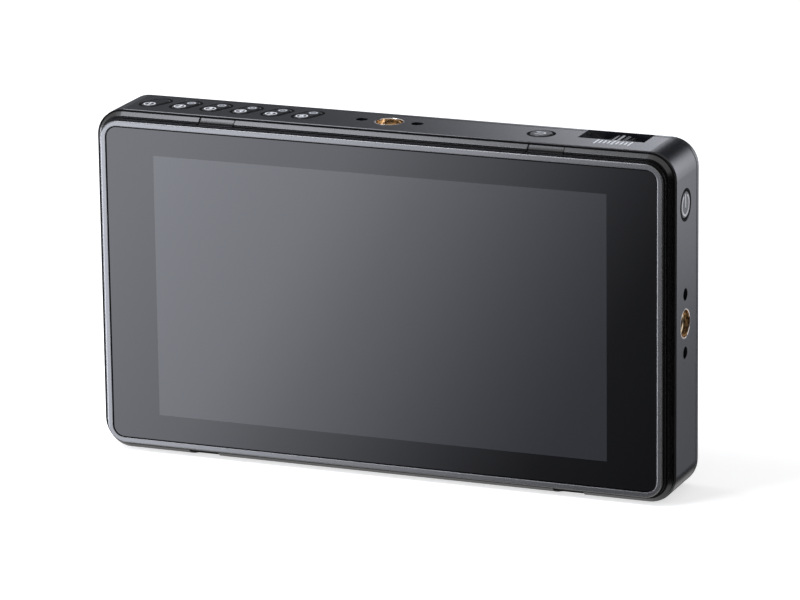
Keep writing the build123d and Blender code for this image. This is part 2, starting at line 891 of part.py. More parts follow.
def mount_block(plane):
    """Solid block behind the wall that the insert is pressed into."""
    with BuildSketch(plane) as drawn:
        Rectangle(mount_block_length, 2 * mount_block_half)
    extrude(drawn.sketch, amount=-mount_block_depth)


def mount_seat(plane):
    """Stepped blind pocket for the insert, and the two locating holes beside it."""
    steps = (
        (insert_radius + thread_clearance, insert_flange),
        (insert_body_radius + thread_clearance, insert_length),
        (thread_wall_radius + thread_depth, insert_hole_depth),
    )
    for radius, depth in steps:
        with BuildSketch(plane) as drawn:
            Circle(radius)
        extrude(drawn.sketch, amount=-depth, mode=Mode.SUBTRACT)
    with BuildSketch(plane) as drawn:
        with GridLocations(locating_spacing, 0, 2, 1):
            Circle(locating_radius)
    extrude(drawn.sketch, amount=-locating_depth, mode=Mode.SUBTRACT)


for insert_name, insert_plane in mounts.items():
    with BuildPart() as mount_insert:
        with BuildSketch(insert_plane):
            Circle(insert_radius)
        extrude(amount=-insert_flange)
        with BuildSketch(insert_plane):
            Circle(insert_body_radius)
        extrude(amount=-insert_length)
        with BuildSketch(insert_plane):
            Circle(thread_wall_radius)
        extrude(amount=-insert_length, mode=Mode.SUBTRACT)
        outward = Axis(insert_plane.origin, insert_plane.z_dir)
        mouth = mount_insert.faces().sort_by(outward)[-1].inner_wires().edges()
        chamfer(mouth, insert_mouth_bevel)
    keep(mount_insert, insert_name)

# ---------------------------------------------------------------- sockets on the left side
socket_plane = left_plane.offset(socket_recess)

# Evenly spaced up the board's edge, from the bottom: headphone, USB-C, HDMI out, HDMI in, power
socket_widths = [headphone_body, usb_width, hdmi_width, hdmi_width, power_jack_body]
socket_spacing = (board_top - board_bottom - sum(socket_widths)) / (len(socket_widths) + 1)
socket_z = []
socket_end = board_bottom
for socket_width in socket_widths:
    socket_z.append(socket_end + socket_spacing + socket_width / 2)
    socket_end += socket_spacing + socket_width
headphone_z, usb_z, hdmi_output_z, hdmi_input_z, power_jack_z = socket_z


def hdmi_outline(z):
    """Flat socket outline with two cut corners, lying on the board at height z."""
    low = z - hdmi_width / 2
    high = z + hdmi_width / 2
    with BuildLine() as edge:
        Polyline(
            (0, low),
            (hdmi_height - hdmi_corner, low),
            (hdmi_height, low + hdmi_corner),
            (hdmi_height, high - hdmi_corner),
            (hdmi_height - hdmi_corner, high),
            (0, high),
            close=True,
        )
    make_face(edge.edges())


def usb_outline():
    """Stadium-shaped socket outline on the board."""
    with Locations((usb_height / 2, usb_z)):
        SlotOverall(usb_width, usb_height, rotation=90)


def hollow_shell(draw, length):
    """Sheet shell open at the wall and closed by a back plate."""
    with BuildSketch(socket_plane) as drawn:
        draw()
    extrude(drawn.sketch, amount=length)
    with BuildSketch(socket_plane) as drawn:
        draw()
        offset(amount=-shell_thickness, kind=Kind.INTERSECTION)
    extrude(drawn.sketch, amount=length - socket_back, mode=Mode.SUBTRACT)


for hdmi_name, hdmi_z in (("hdmi_output_socket", hdmi_output_z), ("hdmi_input_socket", hdmi_input_z)):
    with BuildPart() as hdmi_socket:
        hollow_shell(lambda: hdmi_outline(hdmi_z), hdmi_length)
    keep(hdmi_socket, hdmi_name)

with BuildPart() as usb_c_socket:
    hollow_shell(usb_outline, usb_length)
keep(usb_c_socket, "usb_c_socket")

with BuildPart() as socket_tongues:
    for tongue_z in (hdmi_output_z, hdmi_input_z):
        with BuildSketch(socket_plane.offset(tongue_setback)):
            with Locations((hdmi_height / 2, tongue_z)):
                Rectangle(hdmi_tongue_thickness, hdmi_tongue_width)
        extrude(amount=hdmi_length - socket_back - tongue_setback)
    with BuildSketch(socket_plane.offset(tongue_setback)):
        with Locations((usb_height / 2, usb_z)):
            Rectangle(usb_tongue_thickness, usb_tongue_width)
    extrude(amount=usb_length - socket_back - tongue_setback)
keep(socket_tongues, "socket_tongues")


def round_jack(z, body, barrel, hole, length):
    """Round socket: square body on the board inside the wall, barrel through it, blind hole."""
    with BuildSketch(left_plane.offset(wall + key_slack)) as drawn:
        with Locations((body / 2, z)):
            Rectangle(body, body)
    extrude(drawn.sketch, amount=length - wall)
    with BuildSketch(socket_plane) as drawn:
        with Locations((body / 2, z)):
            Circle(barrel)
    extrude(drawn.sketch, amount=wall)
    with BuildSketch(socket_plane) as drawn:
        with Locations((body / 2, z)):
            Circle(hole)
    extrude(drawn.sketch, amount=length - jack_back, mode=Mode.SUBTRACT)


with BuildPart() as headphone_jack:
    round_jack(headphone_z, headphone_body, headphone_barrel, headphone_hole, headphone_length)
keep(headphone_jack, "headphone_jack")

with BuildPart() as power_jack:
    round_jack(power_jack_z, power_jack_body, power_jack_barrel, power_jack_hole, power_jack_length)
    with BuildSketch(socket_plane.offset(tongue_setback)):
        with Locations((power_jack_body / 2, power_jack_z)):
            Circle(power_jack_pin)
    extrude(amount=power_jack_length - jack_back - tongue_setback)
keep(power_jack, "power_jack")

# ---------------------------------------------------------------- battery bay and latch
with BuildPart() as battery_plate:
    with BuildSketch(ground_view(back_y)):
        with Locations((0, bay_z)):
            Rectangle(tray_outer_width, tray_outer_height)
    extrude(amount=back_y - plate_front)
    with BuildSketch(ground_view(back_y)):
        with Locations((0, bay_z)):
            Rectangle(bay_width, bay_height)
    extrude(amount=bay_depth, mode=Mode.SUBTRACT)
    # Hooks that hold the battery's grooved sides
    with BuildSketch(ground_view(back_y)):
        hook_x = (bay_width - hook_reach) / 2
        hook_z = bay_bottom + hook_first
        with Locations(*[(x, z) for x in (-hook_x, hook_x) for z in (hook_z, hook_z + hook_spacing)]):
            Rectangle(hook_reach, hook_length)
    extrude(amount=hook_thickness)
    # Ears under the housing's pads, with their screw holes
    with BuildSketch(ground_view(plate_back)):
        with Locations(*plate_ear_places):
            Rectangle(plate_ear, plate_ear)
            Circle(small_screw_radius + screw_clearance, mode=Mode.SUBTRACT)
    extrude(amount=bay_floor)
    # Slots in the floor for the latch's tongue and the contacts' tails
    with BuildSketch(ground_view(plate_back)):
        with Locations((0, latch_z)):
            Rectangle(2 * (latch_half_width + latch_gap), latch_length + 2 * latch_gap)
        with Locations(*contact_places):
            Rectangle(contact_width + 2 * contact_slot_gap, contact_length + 2 * contact_slot_gap)
    extrude(amount=bay_floor, mode=Mode.SUBTRACT)
keep(battery_plate, "battery_plate")

with BuildPart() as plate_screws:
    small_screws(plate_front, plate_ear_places, bay_floor + small_screw_bite - screw_end_gap, forward=-1)
keep(plate_screws, "plate_screws")

with BuildPart() as battery_contact_block:
    with BuildSketch(ground_view(plate_back + contact_block_height)):
        with Locations((0, contact_z)):
            Rectangle(contact_block_width, contact_block_length)
        with Locations(*contact_places):
            slot_width = contact_width + 2 * block_slot_side
            Rectangle(slot_width, contact_length + 2 * block_slot_end, mode=Mode.SUBTRACT)
    extrude(amount=contact_block_height)
keep(battery_contact_block, "battery_contact_block")

with BuildPart() as battery_contacts:
    contact_back = plate_back + contact_block_height - contact_sink
    with BuildSketch(ground_view(contact_back)):
        with Locations(*contact_places):
            Rectangle(contact_width, contact_length)
    extrude(amount=contact_back - plate_front + contact_tail)
keep(battery_contacts, "battery_contacts")

with BuildPart() as battery_latch:
    # Bar behind the bay's floor
    with BuildSketch(ground_view(bar_back)):
        bar_right = release_x + release_width / 2
        with Locations(((bar_right - latch_half_width) / 2, latch_z)):
            Rectangle(bar_right + latch_half_width, latch_length)
    extrude(amount=latch_bar_thickness)
    # Tongue with a ramp on the side that the battery slides in from
    with BuildSketch(Plane.YZ.offset(-latch_half_width)):
        with BuildLine():
            Polyline(
                (bar_front, latch_z - latch_length / 2),
                (plate_back + latch_tongue_height, latch_z - latch_length / 2),
                (plate_back + latch_tongue_height, latch_z),
                (plate_back, latch_z + latch_length / 2),
                (bar_front, latch_z + latch_length / 2),
                close=True,
            )
        make_face()
    extrude(amount=2 * latch_half_width)
    # Release button through the back wall
    with BuildSketch(ground_view(back_y + release_proud)):
        with Locations((release_x, latch_z)):
            RectangleRounded(release_width, latch_length, release_corner)
    button = extrude(amount=back_y + release_proud - bar_back)
    chamfer(button.faces().sort_by(Axis.Y)[-1].edges(), key_edge_bevel)
keep(battery_latch, "battery_latch")

with BuildPart() as latch_guide:
    guide_front = board_back + guide_clearance
    leg = latch_length / 2 + latch_bar_gap + guide_thickness
    with BuildSketch(Plane.YZ.offset(guide_x - guide_width / 2)):
        with BuildLine():
            Polyline(
                (plate_front, latch_z - leg),
                (guide_front, latch_z - leg),
                (guide_front, latch_z + leg),
                (plate_front, latch_z + leg),
                (plate_front, latch_z + leg - guide_thickness),
                (guide_front + guide_thickness, latch_z + leg - guide_thickness),
                (guide_front + guide_thickness, latch_z - leg + guide_thickness),
                (plate_front, latch_z - leg + guide_thickness),
                close=True,
            )
        make_face()
    extrude(amount=guide_width)
keep(latch_guide, "latch_guide")

# Return spring, drawn at its pressed length
with BuildPart() as latch_spring:
    spring_start = guide_front + guide_thickness
    spring_length = bar_front - latch_travel - spring_start
    coil_length = spring_length - spring_wire
    with BuildLine():
        coil = Helix(
            pitch=coil_length / spring_turns,
            height=coil_length,
            radius=spring_radius,
            center=(guide_x, spring_start + spring_wire / 2, latch_z),
            direction=(0, 1, 0),
        )
    with BuildSketch(Plane(origin=coil @ 0, z_dir=coil % 0)):
        Rectangle(spring_wire, spring_wire)
    sweep(is_frenet=True)
keep(latch_spring, "latch_spring")

# ---------------------------------------------------------------- main housing
with BuildPart() as main_housing:
    # Outer form with its rounded back edge and bevelled front edge
    with BuildSketch(view(back_y)):
        outline(0)
    extrude(amount=back_y - housing_front)
    fillet(main_housing.faces().sort_by(Axis.Y)[-1].edges(), back_edge_radius)
    chamfer(main_housing.faces().sort_by(Axis.Y)[0].edges(), front_edge_bevel)
    with BuildSketch(view(inner_back)):
        outline(wall)
    extrude(amount=inner_back - housing_front, mode=Mode.SUBTRACT)
    # Posts for the case screws
    with BuildSketch(ground_view(inner_back)):
        with Locations(*case_screw_places):
            Circle(case_post_radius)
    extrude(amount=inner_back - case_joint)
    screw_faces = [Plane(origin=(x, back_y, z), z_dir=(0, 1, 0)) for x, z in case_screw_places]
    with Locations(*screw_faces):
        shank_hole = case_screw_radius + screw_clearance
        CounterSinkHole(shank_hole, case_head_radius + screw_clearance, body_depth, case_head_angle)
    # Threaded mounts
    for mount_plane in mounts.values():
        mount_block(mount_plane)
        mount_seat(mount_plane)
    # Ribs and pegs that carry the key boards, and the keys' holes
    for rib_plane, rib_span, rib_keys in key_groups.values():
        with BuildSketch(rib_plane.offset(-wall)):
            rib_centre = (rib_span[0] + rib_span[1]) / 2
            with Locations((rib_centre, -rib_offset), (rib_centre, rib_offset)):
                Rectangle(rib_span[1] - rib_span[0], key_rib_thickness)
        extrude(amount=wall - key_board_depth)
        with BuildSketch(rib_plane.offset(-key_board_depth)):
            with Locations(*peg_places(rib_span)):
                Rectangle(peg_width, peg_width)
        extrude(amount=-key_board_thickness - peg_proud)
    with BuildSketch(top_plane):
        with Locations(*[(x, 0) for x in function_key_x]):
            function_shape(key_gap)
        with Locations((input_key_x, 0)):
            input_shape(key_gap)
    extrude(amount=-wall, mode=Mode.SUBTRACT)
    with BuildSketch(power_plane):
        power_shape(key_gap)
    extrude(amount=-wall, mode=Mode.SUBTRACT)
    # Thumb recess over the menu dial: tub, ramped scoop, slot in its floor
    with BuildSketch(ground_view(inner_back)):
        with Locations(((recess_left + recess_right) / 2, body_height - (recess_depth + recess_floor) / 2)):
            Rectangle(recess_right - recess_left + 2 * recess_side, recess_depth + recess_floor)
    extrude(amount=inner_back - recess_front + recess_side)
    with BuildSketch(ground_view(recess_back)):
        with BuildLine():
            Polyline(
                (recess_left, body_height + 1),
                (recess_left, body_height),
                (recess_left + recess_ramp, body_height - recess_depth),
                (recess_right, body_height - recess_depth),
                (recess_right, body_height + 1),
                close=True,
            )
        make_face()
    extrude(amount=recess_back - recess_front, mode=Mode.SUBTRACT)
    with BuildSketch(Plane.XY.offset(body_height)):
        with Locations((dial_x, (dial_front + dial_back) / 2)):
            Rectangle(2 * slot_half, dial_thickness + 2 * recess_slot_gap)
    extrude(amount=-recess_depth - recess_floor, mode=Mode.SUBTRACT)
    # Guides for the dial's carriage and the shelf under its switch board
    guide_z = dial_z - guide_height / 2
    with BuildSketch(ground_view(inner_back)):
        guide_offset = cheek_half + guide_gap + guide_rib / 2
        with Locations((dial_x - guide_offset, guide_z), (dial_x + guide_offset, guide_z)):
            Rectangle(guide_rib, guide_height)
    extrude(amount=inner_back - back_cheek)
    shelf_top = dial_board_top - key_board_thickness
    with BuildSketch(ground_view(inner_back)):
        shelf_z = shelf_top - shelf_thickness / 2
        with Locations((dial_x - cheek_half, shelf_z), (dial_x + cheek_half, shelf_z)):
            Rectangle(guide_rib, shelf_thickness)
    extrude(amount=inner_back - dial_board_front)
    # Socket openings in the left wall
    with BuildSketch(left_plane):
        hdmi_outline(hdmi_output_z)
        hdmi_outline(hdmi_input_z)
        usb_outline()
        with Locations((headphone_body / 2, headphone_z)):
            Circle(headphone_barrel)
        with Locations((power_jack_body / 2, power_jack_z)):
            Circle(power_jack_barrel)
        offset(amount=socket_gap, kind=Kind.INTERSECTION)
    extrude(amount=wall, mode=Mode.SUBTRACT)
    # Opening for the battery bay, pads for its ears, and the release button's hole
    with BuildSketch(ground_view(back_y)):
        with Locations((0, bay_z)):
            Rectangle(tray_outer_width + 2 * bay_gap, tray_outer_height + 2 * bay_gap)
    extrude(amount=wall, mode=Mode.SUBTRACT)
    with BuildSketch(ground_view(inner_back)):
        with Locations(*plate_ear_places):
            Circle(plate_pad_radius)
    extrude(amount=inner_back - plate_back)
    with BuildSketch(ground_view(plate_back)):
        with Locations(*plate_ear_places):
            Circle(small_screw_radius + thread_clearance)
    extrude(amount=-small_screw_bite, mode=Mode.SUBTRACT)
    with BuildSketch(ground_view(back_y)):
        with Locations((release_x, latch_z)):
            hole_width = release_width + 2 * latch_gap
            hole_height = latch_length + 2 * latch_gap
            RectangleRounded(hole_width, hole_height, release_corner + latch_gap)
    extrude(amount=wall, mode=Mode.SUBTRACT)
    # Vents on both sides of the bay
    with BuildSketch(ground_view(back_y)):
        for side_x in (-vent_x, vent_x):
            with Locations((side_x, vent_up)):
                with GridLocations(0, vent_pitch, 1, vent_count):
                    Rectangle(vent_length, vent_width)
    extrude(amount=wall, mode=Mode.SUBTRACT)
    notch_bottom_edge()
keep(main_housing, "main_housing")

with BuildPart() as case_screws:
    head_y = back_y - case_head_sink
    with BuildSketch(ground_view(head_y)):
        with Locations(*case_screw_places):
            Circle(case_head_radius)
    extrude(amount=case_head_radius - case_screw_radius, taper=case_head_angle / 2)
    with BuildSketch(ground_view(head_y)):
        with Locations(*case_screw_places):
            Circle(case_screw_radius)
    extrude(amount=head_y - case_joint + case_screw_bite)
    with BuildSketch(ground_view(head_y)):
        with Locations(*case_screw_places):
            Rectangle(cross_length, cross_width)
            Rectangle(cross_width, cross_length)
    extrude(amount=cross_depth, mode=Mode.SUBTRACT)
keep(case_screws, "case_screws")
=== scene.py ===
"""Looks of a camera field monitor: finishes for its moulded housing, bezel, glass, keys, dial, threaded
mounts, sockets and battery bay, with the printed marks, screw threads and contacts that they carry.

The frame comes packed, in metres: +X to the right of the screen, +Y from the screen to the back, +Z up.
"""

from math import cos, pi, radians, sin, tau

import bmesh
import bpy
from bpy.props import FloatProperty, FloatVectorProperty, PointerProperty
from mathutils import Euler, Matrix, Vector


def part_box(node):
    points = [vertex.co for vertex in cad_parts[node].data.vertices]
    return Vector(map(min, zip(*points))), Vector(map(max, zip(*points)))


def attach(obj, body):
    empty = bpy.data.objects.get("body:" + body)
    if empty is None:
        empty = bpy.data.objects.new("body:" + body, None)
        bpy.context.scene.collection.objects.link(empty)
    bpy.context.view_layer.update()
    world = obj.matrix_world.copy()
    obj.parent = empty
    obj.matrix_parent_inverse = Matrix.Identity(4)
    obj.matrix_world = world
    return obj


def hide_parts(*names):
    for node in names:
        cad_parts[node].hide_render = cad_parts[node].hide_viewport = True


bl_info = {
    "name": "Field Monitor Looks",
    "version": (1, 0, 0),
    "blender": (4, 5, 0),
    "location": "View3D > Sidebar > Monitor",
    "description": "Finishes a camera field monitor and sets it in a plain studio",
    "category": "Object",
}

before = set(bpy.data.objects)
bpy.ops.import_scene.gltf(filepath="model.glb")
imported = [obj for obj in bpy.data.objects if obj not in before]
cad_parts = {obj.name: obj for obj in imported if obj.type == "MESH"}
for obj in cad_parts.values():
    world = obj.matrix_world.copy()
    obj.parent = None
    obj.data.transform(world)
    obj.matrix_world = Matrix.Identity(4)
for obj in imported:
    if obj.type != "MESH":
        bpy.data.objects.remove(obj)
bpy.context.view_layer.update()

MM = 0.001
# The monitor's middle, which the lamps and the cards face
CENTRE = Vector((0, 0, 0.045))
# Points of a mesh that lie closer than this are one point
SAME_POINT = 0.0005 * MM
# How a mark drawn on local z = 0 is turned to face along an axis: 0 is +X, to the right, and 2 is +Z, up
UPRIGHT = Matrix.Identity(4)
FACING = {0: Matrix(((0, 0, 1), (1, 0, 0), (0, 1, 0))).to_4x4(), 2: UPRIGHT}
# The share of a printed line's width that rounds each corner of its ends
END_ROUNDING = 0.45
# Steps in a turn of screw thread
THREAD_STEPS = 36
# A card's light that is the same from end to end
EVEN = ((0.0, 1.0), (1.0, 1.0))
WHITE = (1, 1, 1, 1)
BLACK = (0, 0, 0, 1)


def linear(hex_colour):
    """Linear red, green and blue of an sRGB hex colour."""
    channels = [int(hex_colour[i : i + 2], 16) / 255 for i in (1, 3, 5)]
    return tuple(c / 12.92 if c <= 0.04045 else ((c + 0.055) / 1.055) ** 2.4 for c in channels)


def colour(name, description, hex_colour):
    """A colour that a user can change."""
    return FloatVectorProperty(
        name=name, description=description, subtype="COLOR", size=3, min=0, max=1, default=linear(hex_colour)
    )


def length(name, description, millimetres):
    """A length that a user can change."""
    return FloatProperty(
        name=name, description=description, unit="LENGTH", precision=5, min=0, default=millimetres * MM
    )


def amount(name, description, default):
    """A plain number that a user can change."""
    return FloatProperty(name=name, description=description, min=0, default=default)


# ---------------------------------------------------------------- what a user would change
class MonitorSizes(bpy.types.PropertyGroup):
    """Sizes of the detail that the finishing pieces add."""

    edge_softness: length("Edge softness", "Radius that moulded edges show", 0.12)
    ink_height: length("Ink height", "Thickness of a printed mark", 0.02)
    number_height: length("Number height", "Height of the numbers on the function keys", 1.9)
    number_ring: length("Number ring", "Radius of the ring round each number", 1.4)
    fine_stroke: length("Fine stroke", "Line width of the number rings and of the input key's sign", 0.35)
    second_ring: length("Second ring", "Radius of the small ring, a function key's second sign", 0.95)
    second_stroke: length("Second stroke", "Line width of the small ring and its dot", 0.5)
    # The black ring round each key is painted shadow: it darkens the housing round the key as the gap's shade
    # would
    surround_width: length("Key surround", "Width of the black ring round each key that paints its shadow", 0.72)
    mark_stroke: length("Mark stroke", "Line width of the power sign", 0.55)
    power_ring: length("Power sign", "Radius of the power sign's ring", 2.6)
    arrow_bend: length("Return arrow", "Radius of the bend in the input key's sign", 1.0)
    picture_width: length("Picture width", "Width of the screen's picture", 121.76)
    picture_height: length("Picture height", "Height of the screen's picture", 68.49)
    corner_radius: length("Corner radius", "Radius of the body's corners, seen from the front", 7.0)
    bezel_softness: length("Bezel softness", "Radius that the bezel's milled edges show", 0.3)
    bezel_width: length("Bezel width", "Width of the bezel from the body's outline to the glass", 3.6)
    groove_outside: length("Groove start", "Where the bezel's groove begins, in from the outline", 1.38)
    groove_inside: length("Groove end", "Where the bezel's groove ends and its rim begins", 2.24)
    function_key_radius: length("Function key radius", "Radius of a function key's round ends", 2.2)
    function_key_span: length("Function key span", "Between the middles of a function key's ends", 4.06)
    function_key_tilt: FloatProperty(
        name="Function key tilt", description="Slant of the keys", subtype="ANGLE", default=radians(20.8)
    )
    input_key_radius: length("Input key radius", "Radius of the input key", 2.9)
    power_key_radius: length("Power key radius", "Radius of the power key", 3.4)
    key_clearance: length("Key clearance", "Room between a key and the black ring round it", 0.06)
    tick_pitch: length("Tick pitch", "Between the ticks of the dial's scale", 1.1)
    tick_stroke: length("Tick stroke", "Line width of the ticks", 0.45)
    long_tick: length("Long tick", "Half the length of every fourth tick", 1.9)
    short_tick: length("Short tick", "Half the length of the other ticks", 1.2)
    scale_gap: length("Scale place", "From the dial's front to the middle of its scale", 2.65)
    clip_side: length("Clip place", "How far a clip's middle lies in from the body's side", 33.5)
    clip_width: length("Clip width", "Width of the notch that a clip fills", 9.65)
    clip_gap: length("Clip gap", "Gap at a clip's left end", 0.3)
    clip_clearance: length("Clip clearance", "Gap at a clip's right end", 0.06)
    # The black strip in the gap between the bezel and the housing is painted shadow: it darkens the gap as
    # its shade would
    seal_inset: length("Gap shadow inset", "How far the gap's seal lies below the housing's face", 0.1)
    seal_rise: length("Gap shadow rise", "How far the seal lies above the body's underside", 0.65)
    seal_width: length("Gap shadow width", "How deep the painted shadow reaches into the gap", 0.95)
    seal_depth: length("Gap shadow depth", "Depth of the gap's painted shadow from front to back", 0.73)
    seal_front: length("Gap shadow front", "From the body's middle plane forward to the seal's front", 8.25)
    seam_from_back: length("Rear seam place", "From the back to the gap of the rear shell", 2.9)
    seam_gap: length("Rear seam", "Width of the gap, drawn a little wider than it is", 0.45)
    thread_pitch: length("Thread pitch", "Pitch of the mount thread, 20 turns to the inch", 1.27)
    thread_root: length("Thread root", "Radius of the mount's bore between the ridges", 3.15)
    thread_crest: length("Thread crest", "Radius of the mount's bore at the ridges", 2.55)
    thread_turns: amount("Thread turns", "Turns of thread below the lead-in", 2.4)
    bush_mouth: length("Bush mouth", "Radius of the mount's counterbore", 3.5)
    bush_lead: length("Lead-in depth", "Smooth mouth before the thread starts", 1.6)
    bush_flange: length("Bush flange", "Radius of the mount's flange", 3.85)
    bush_body: length("Bush body", "Radius of the mount's body behind its flange", 3.45)
    bush_chamfer: length("Bush chamfer", "Chamfer at the bush's inner end", 0.3)
    insulator: length("Insulator", "Depth of the black insulator at a socket's far end", 1.2)


class MonitorColours(bpy.types.PropertyGroup):
    """Colours of the finishes."""

    housing: colour("Housing", "Moulded housing", "#18191C")
    bezel: colour("Bezel", "Anodised bezel", "#414141")
    bezel_rim: colour("Bezel rim", "Bare milled rim of the bezel", "#656566")
    # The groove's colour is painted shade: darker where the recessed groove falls in shade
    bezel_groove: colour("Bezel groove shade", "Painted shade in the groove between the bezel's band and rim", "#1A1A1B")
    keys: colour("Keys", "Key caps", "#16171A")
    dial: colour("Dial", "Menu dial", "#141517")
    glass: colour("Glass", "Print behind the glass's border", "#08080A")
    picture: colour("Picture", "Screen that is switched off", "#28292C")
    bay: colour("Battery bay", "Battery plate", "#1D1E20")
    ink: colour("Ink", "White printed marks", "#E6E7EA")
    faint_ink: colour("Faint ink", "Grey printed marks", "#B4B6BA")
    brass: colour("Brass", "Bores of the threaded mounts", "#DDC9AE")
    nickel: colour("Nickel", "Plated rims of the threaded mounts", "#DAD0CA")


class StudioSettings(bpy.types.PropertyGroup):
    """Light and camera."""

    camera_place: FloatVectorProperty(
        name="Camera place", description="Where the camera stands", subtype="XYZ", unit="LENGTH",
        default=(0.47020, -1.16553, 0.38842),
    )
    camera_turn: FloatVectorProperty(
        name="Camera turn", description="How the camera is turned", subtype="EULER",
        default=(radians(74.663), radians(0.685), radians(21.719)),
    )
    camera_lens: amount("Lens", "Focal length in millimetres", 231.85)
    floor_colour: colour("Floor", "Floor and background", "#F4F4F4")
    light_colour: colour("Light", "Colour of the lamps and cards", "#F2F5FF")
    left_light: amount("Left softbox", "Brightness of the long softbox", 9.0)
    top_light: amount("Top softbox", "Brightness of the softbox overhead", 9.5)
    front_card: amount("Front card", "Brightness of the card before the screen", 6.0)
    back_card: amount("Back card", "Brightness of the card behind", 14.0)


def settings():
    """The sizes and the colours as they are set."""
    scene = bpy.context.scene
    return scene.monitor_sizes, scene.monitor_colours


# ---------------------------------------------------------------- nodes and materials
def add_node(tree, kind, inputs=None, stops=(), run="LINEAR", **options):
    """Add a shader node with its options, and a ramp's stops and how the colour runs between them.

    An input given a node or socket is linked, any other is set.
    """
    node = tree.nodes.new(f"ShaderNode{kind}")
    for name, value in options.items():
        setattr(node, name, value)
    for name, value in (inputs or {}).items():
        if isinstance(value, bpy.types.Node):
            value = next(output for output in value.outputs if output.enabled)
        if isinstance(value, bpy.types.NodeSocket):
            tree.links.new(value, node.inputs[name])
        else:
            node.inputs[name].default_value = value
    if stops:
        ramp = node.color_ramp
        ramp.interpolation = run
        while len(ramp.elements) < len(stops):
            ramp.elements.new(0.5)
        for stop, (position, rgb) in zip(ramp.elements, stops):
            stop.position = position
            stop.color = rgba(rgb)
    return node


def new_material(name):
    """An empty material and its node tree."""
    material = bpy.data.materials.new(name)
    material.use_nodes = True
    material.node_tree.nodes.clear()
    return material, material.node_tree


def surfaced(material, shader):
    """The material with a shader on its surface."""
    add_node(material.node_tree, "OutputMaterial", {"Surface": shader})
    return material


def rgba(rgb):
    """A colour socket's four values."""
    return (rgb[0], rgb[1], rgb[2], 1)


def scaled(rgb, factor):
    """A colour made darker or lighter."""
    return tuple(min(1.0, c * factor) for c in rgb)


def coordinates(tree):
    """The sockets X, Y and Z of a point's place on its piece."""
    place = add_node(tree, "TexCoord")
    return add_node(tree, "SeparateXYZ", {"Vector": place.outputs["Object"]}).outputs


def grain(tree, size, detail=2.0):
    """Noise whose grains measure size, in metres, fixed to the piece."""
    place = add_node(tree, "TexCoord")
    pattern = {"Vector": place.outputs["Object"], "Scale": 1 / size, "Detail": detail}
    return add_node(tree, "TexNoise", pattern)


def uneven(tree, tones, dark, light, marks, low, high):
    """A surface's colour and its roughness, each of which follows the middle range of a pattern."""
    drift = {"Value": marks, "From Min": 0.3, "From Max": 0.7, "To Min": low, "To Max": high}
    return {
        "Base Color": add_node(tree, "ValToRGB", {"Fac": tones}, ((0.3, dark), (0.7, light))),
        "Roughness": add_node(tree, "MapRange", drift),
    }


def moulded(name, rgb, roughness, grain_size, grain_height, softness, seam=None):
    """Moulded plastic: an even body colour, an eroded grain, softened edges and any seam between shells."""
    material, tree = new_material(name)
    fine = grain(tree, grain_size)
    broad = grain(tree, 30 * MM)
    edge = add_node(tree, "Bevel", {"Radius": softness}, samples=6)
    relief = {"Height": fine, "Distance": grain_height, "Strength": 1.0, "Normal": edge}
    dark, light = scaled(rgb, 0.94), scaled(rgb, 1.06)
    body = uneven(tree, broad, dark, light, fine, roughness - 0.04, roughness + 0.04)
    if seam:
        line = seam(tree)
        layers = {0: line, 6: body["Base Color"], 7: BLACK}
        body["Base Color"] = add_node(tree, "Mix", layers, data_type="RGBA")
        body["Roughness"] = add_node(tree, "Math", {0: body["Roughness"], 1: line}, operation="MAXIMUM")
    body |= {"IOR": 1.5, "Normal": add_node(tree, "Bump", relief)}
    return surfaced(material, add_node(tree, "BsdfPrincipled", body))


def plated(name, rgb, roughness, mark_size):
    """Metal with faint marks of handling in its roughness."""
    material, tree = new_material(name)
    marks = grain(tree, mark_size, 4.0)
    body = uneven(tree, marks, scaled(rgb, 0.92), rgb, marks, roughness - 0.05, roughness + 0.07)
    body["Metallic"] = 1.0
    return surfaced(material, add_node(tree, "BsdfPrincipled", body))


def plain(name, rgb, roughness, spot_size=2 * MM, specular=0.5):
    """Plain non-metal with a slight unevenness."""
    material, tree = new_material(name)
    spots = grain(tree, spot_size)
    dark, light = scaled(rgb, 0.93), scaled(rgb, 1.05)
    body = uneven(tree, spots, dark, light, spots, roughness - 0.05, roughness + 0.05)
    body |= {"IOR": 1.5, "Specular IOR Level": specular}
    return surfaced(material, add_node(tree, "BsdfPrincipled", body))


def socket_shell(node):
    """Bright nickel on steel, as far as the black insulator that closes the socket's far end."""
    sizes, _ = settings()
    material, tree = new_material("Bright nickel on steel")
    marks = grain(tree, 1 * MM, 4.0)
    reach = {0: coordinates(tree)["X"], 1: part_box(node)[1].x - sizes.insulator}
    nickel = add_node(tree, "Math", reach, operation="LESS_THAN")
    body = uneven(tree, nickel, linear("#0E0E10"), linear("#B9B8B4"), marks, 0.2, 0.32)
    body["Metallic"] = nickel
    return surfaced(material, add_node(tree, "BsdfPrincipled", body))


def soft_black(name):
    """Matt black that paints the shade in a gap: a dull skin that swallows the light."""
    return plain(name, linear("#050506"), 0.9, 0.4 * MM, 0.1)


def housing_plastic():
    """Glass-filled ABS from a spark-eroded mould: dark grey, satin, with a fine even grain."""
    sizes, colours = settings()
    # The real grain is about 0.1 mm; it is drawn at 0.3 mm to show at all
    return moulded("Eroded ABS", colours.housing, 0.2, 0.3 * MM, 0.003 * MM, sizes.edge_softness, rear_seam)


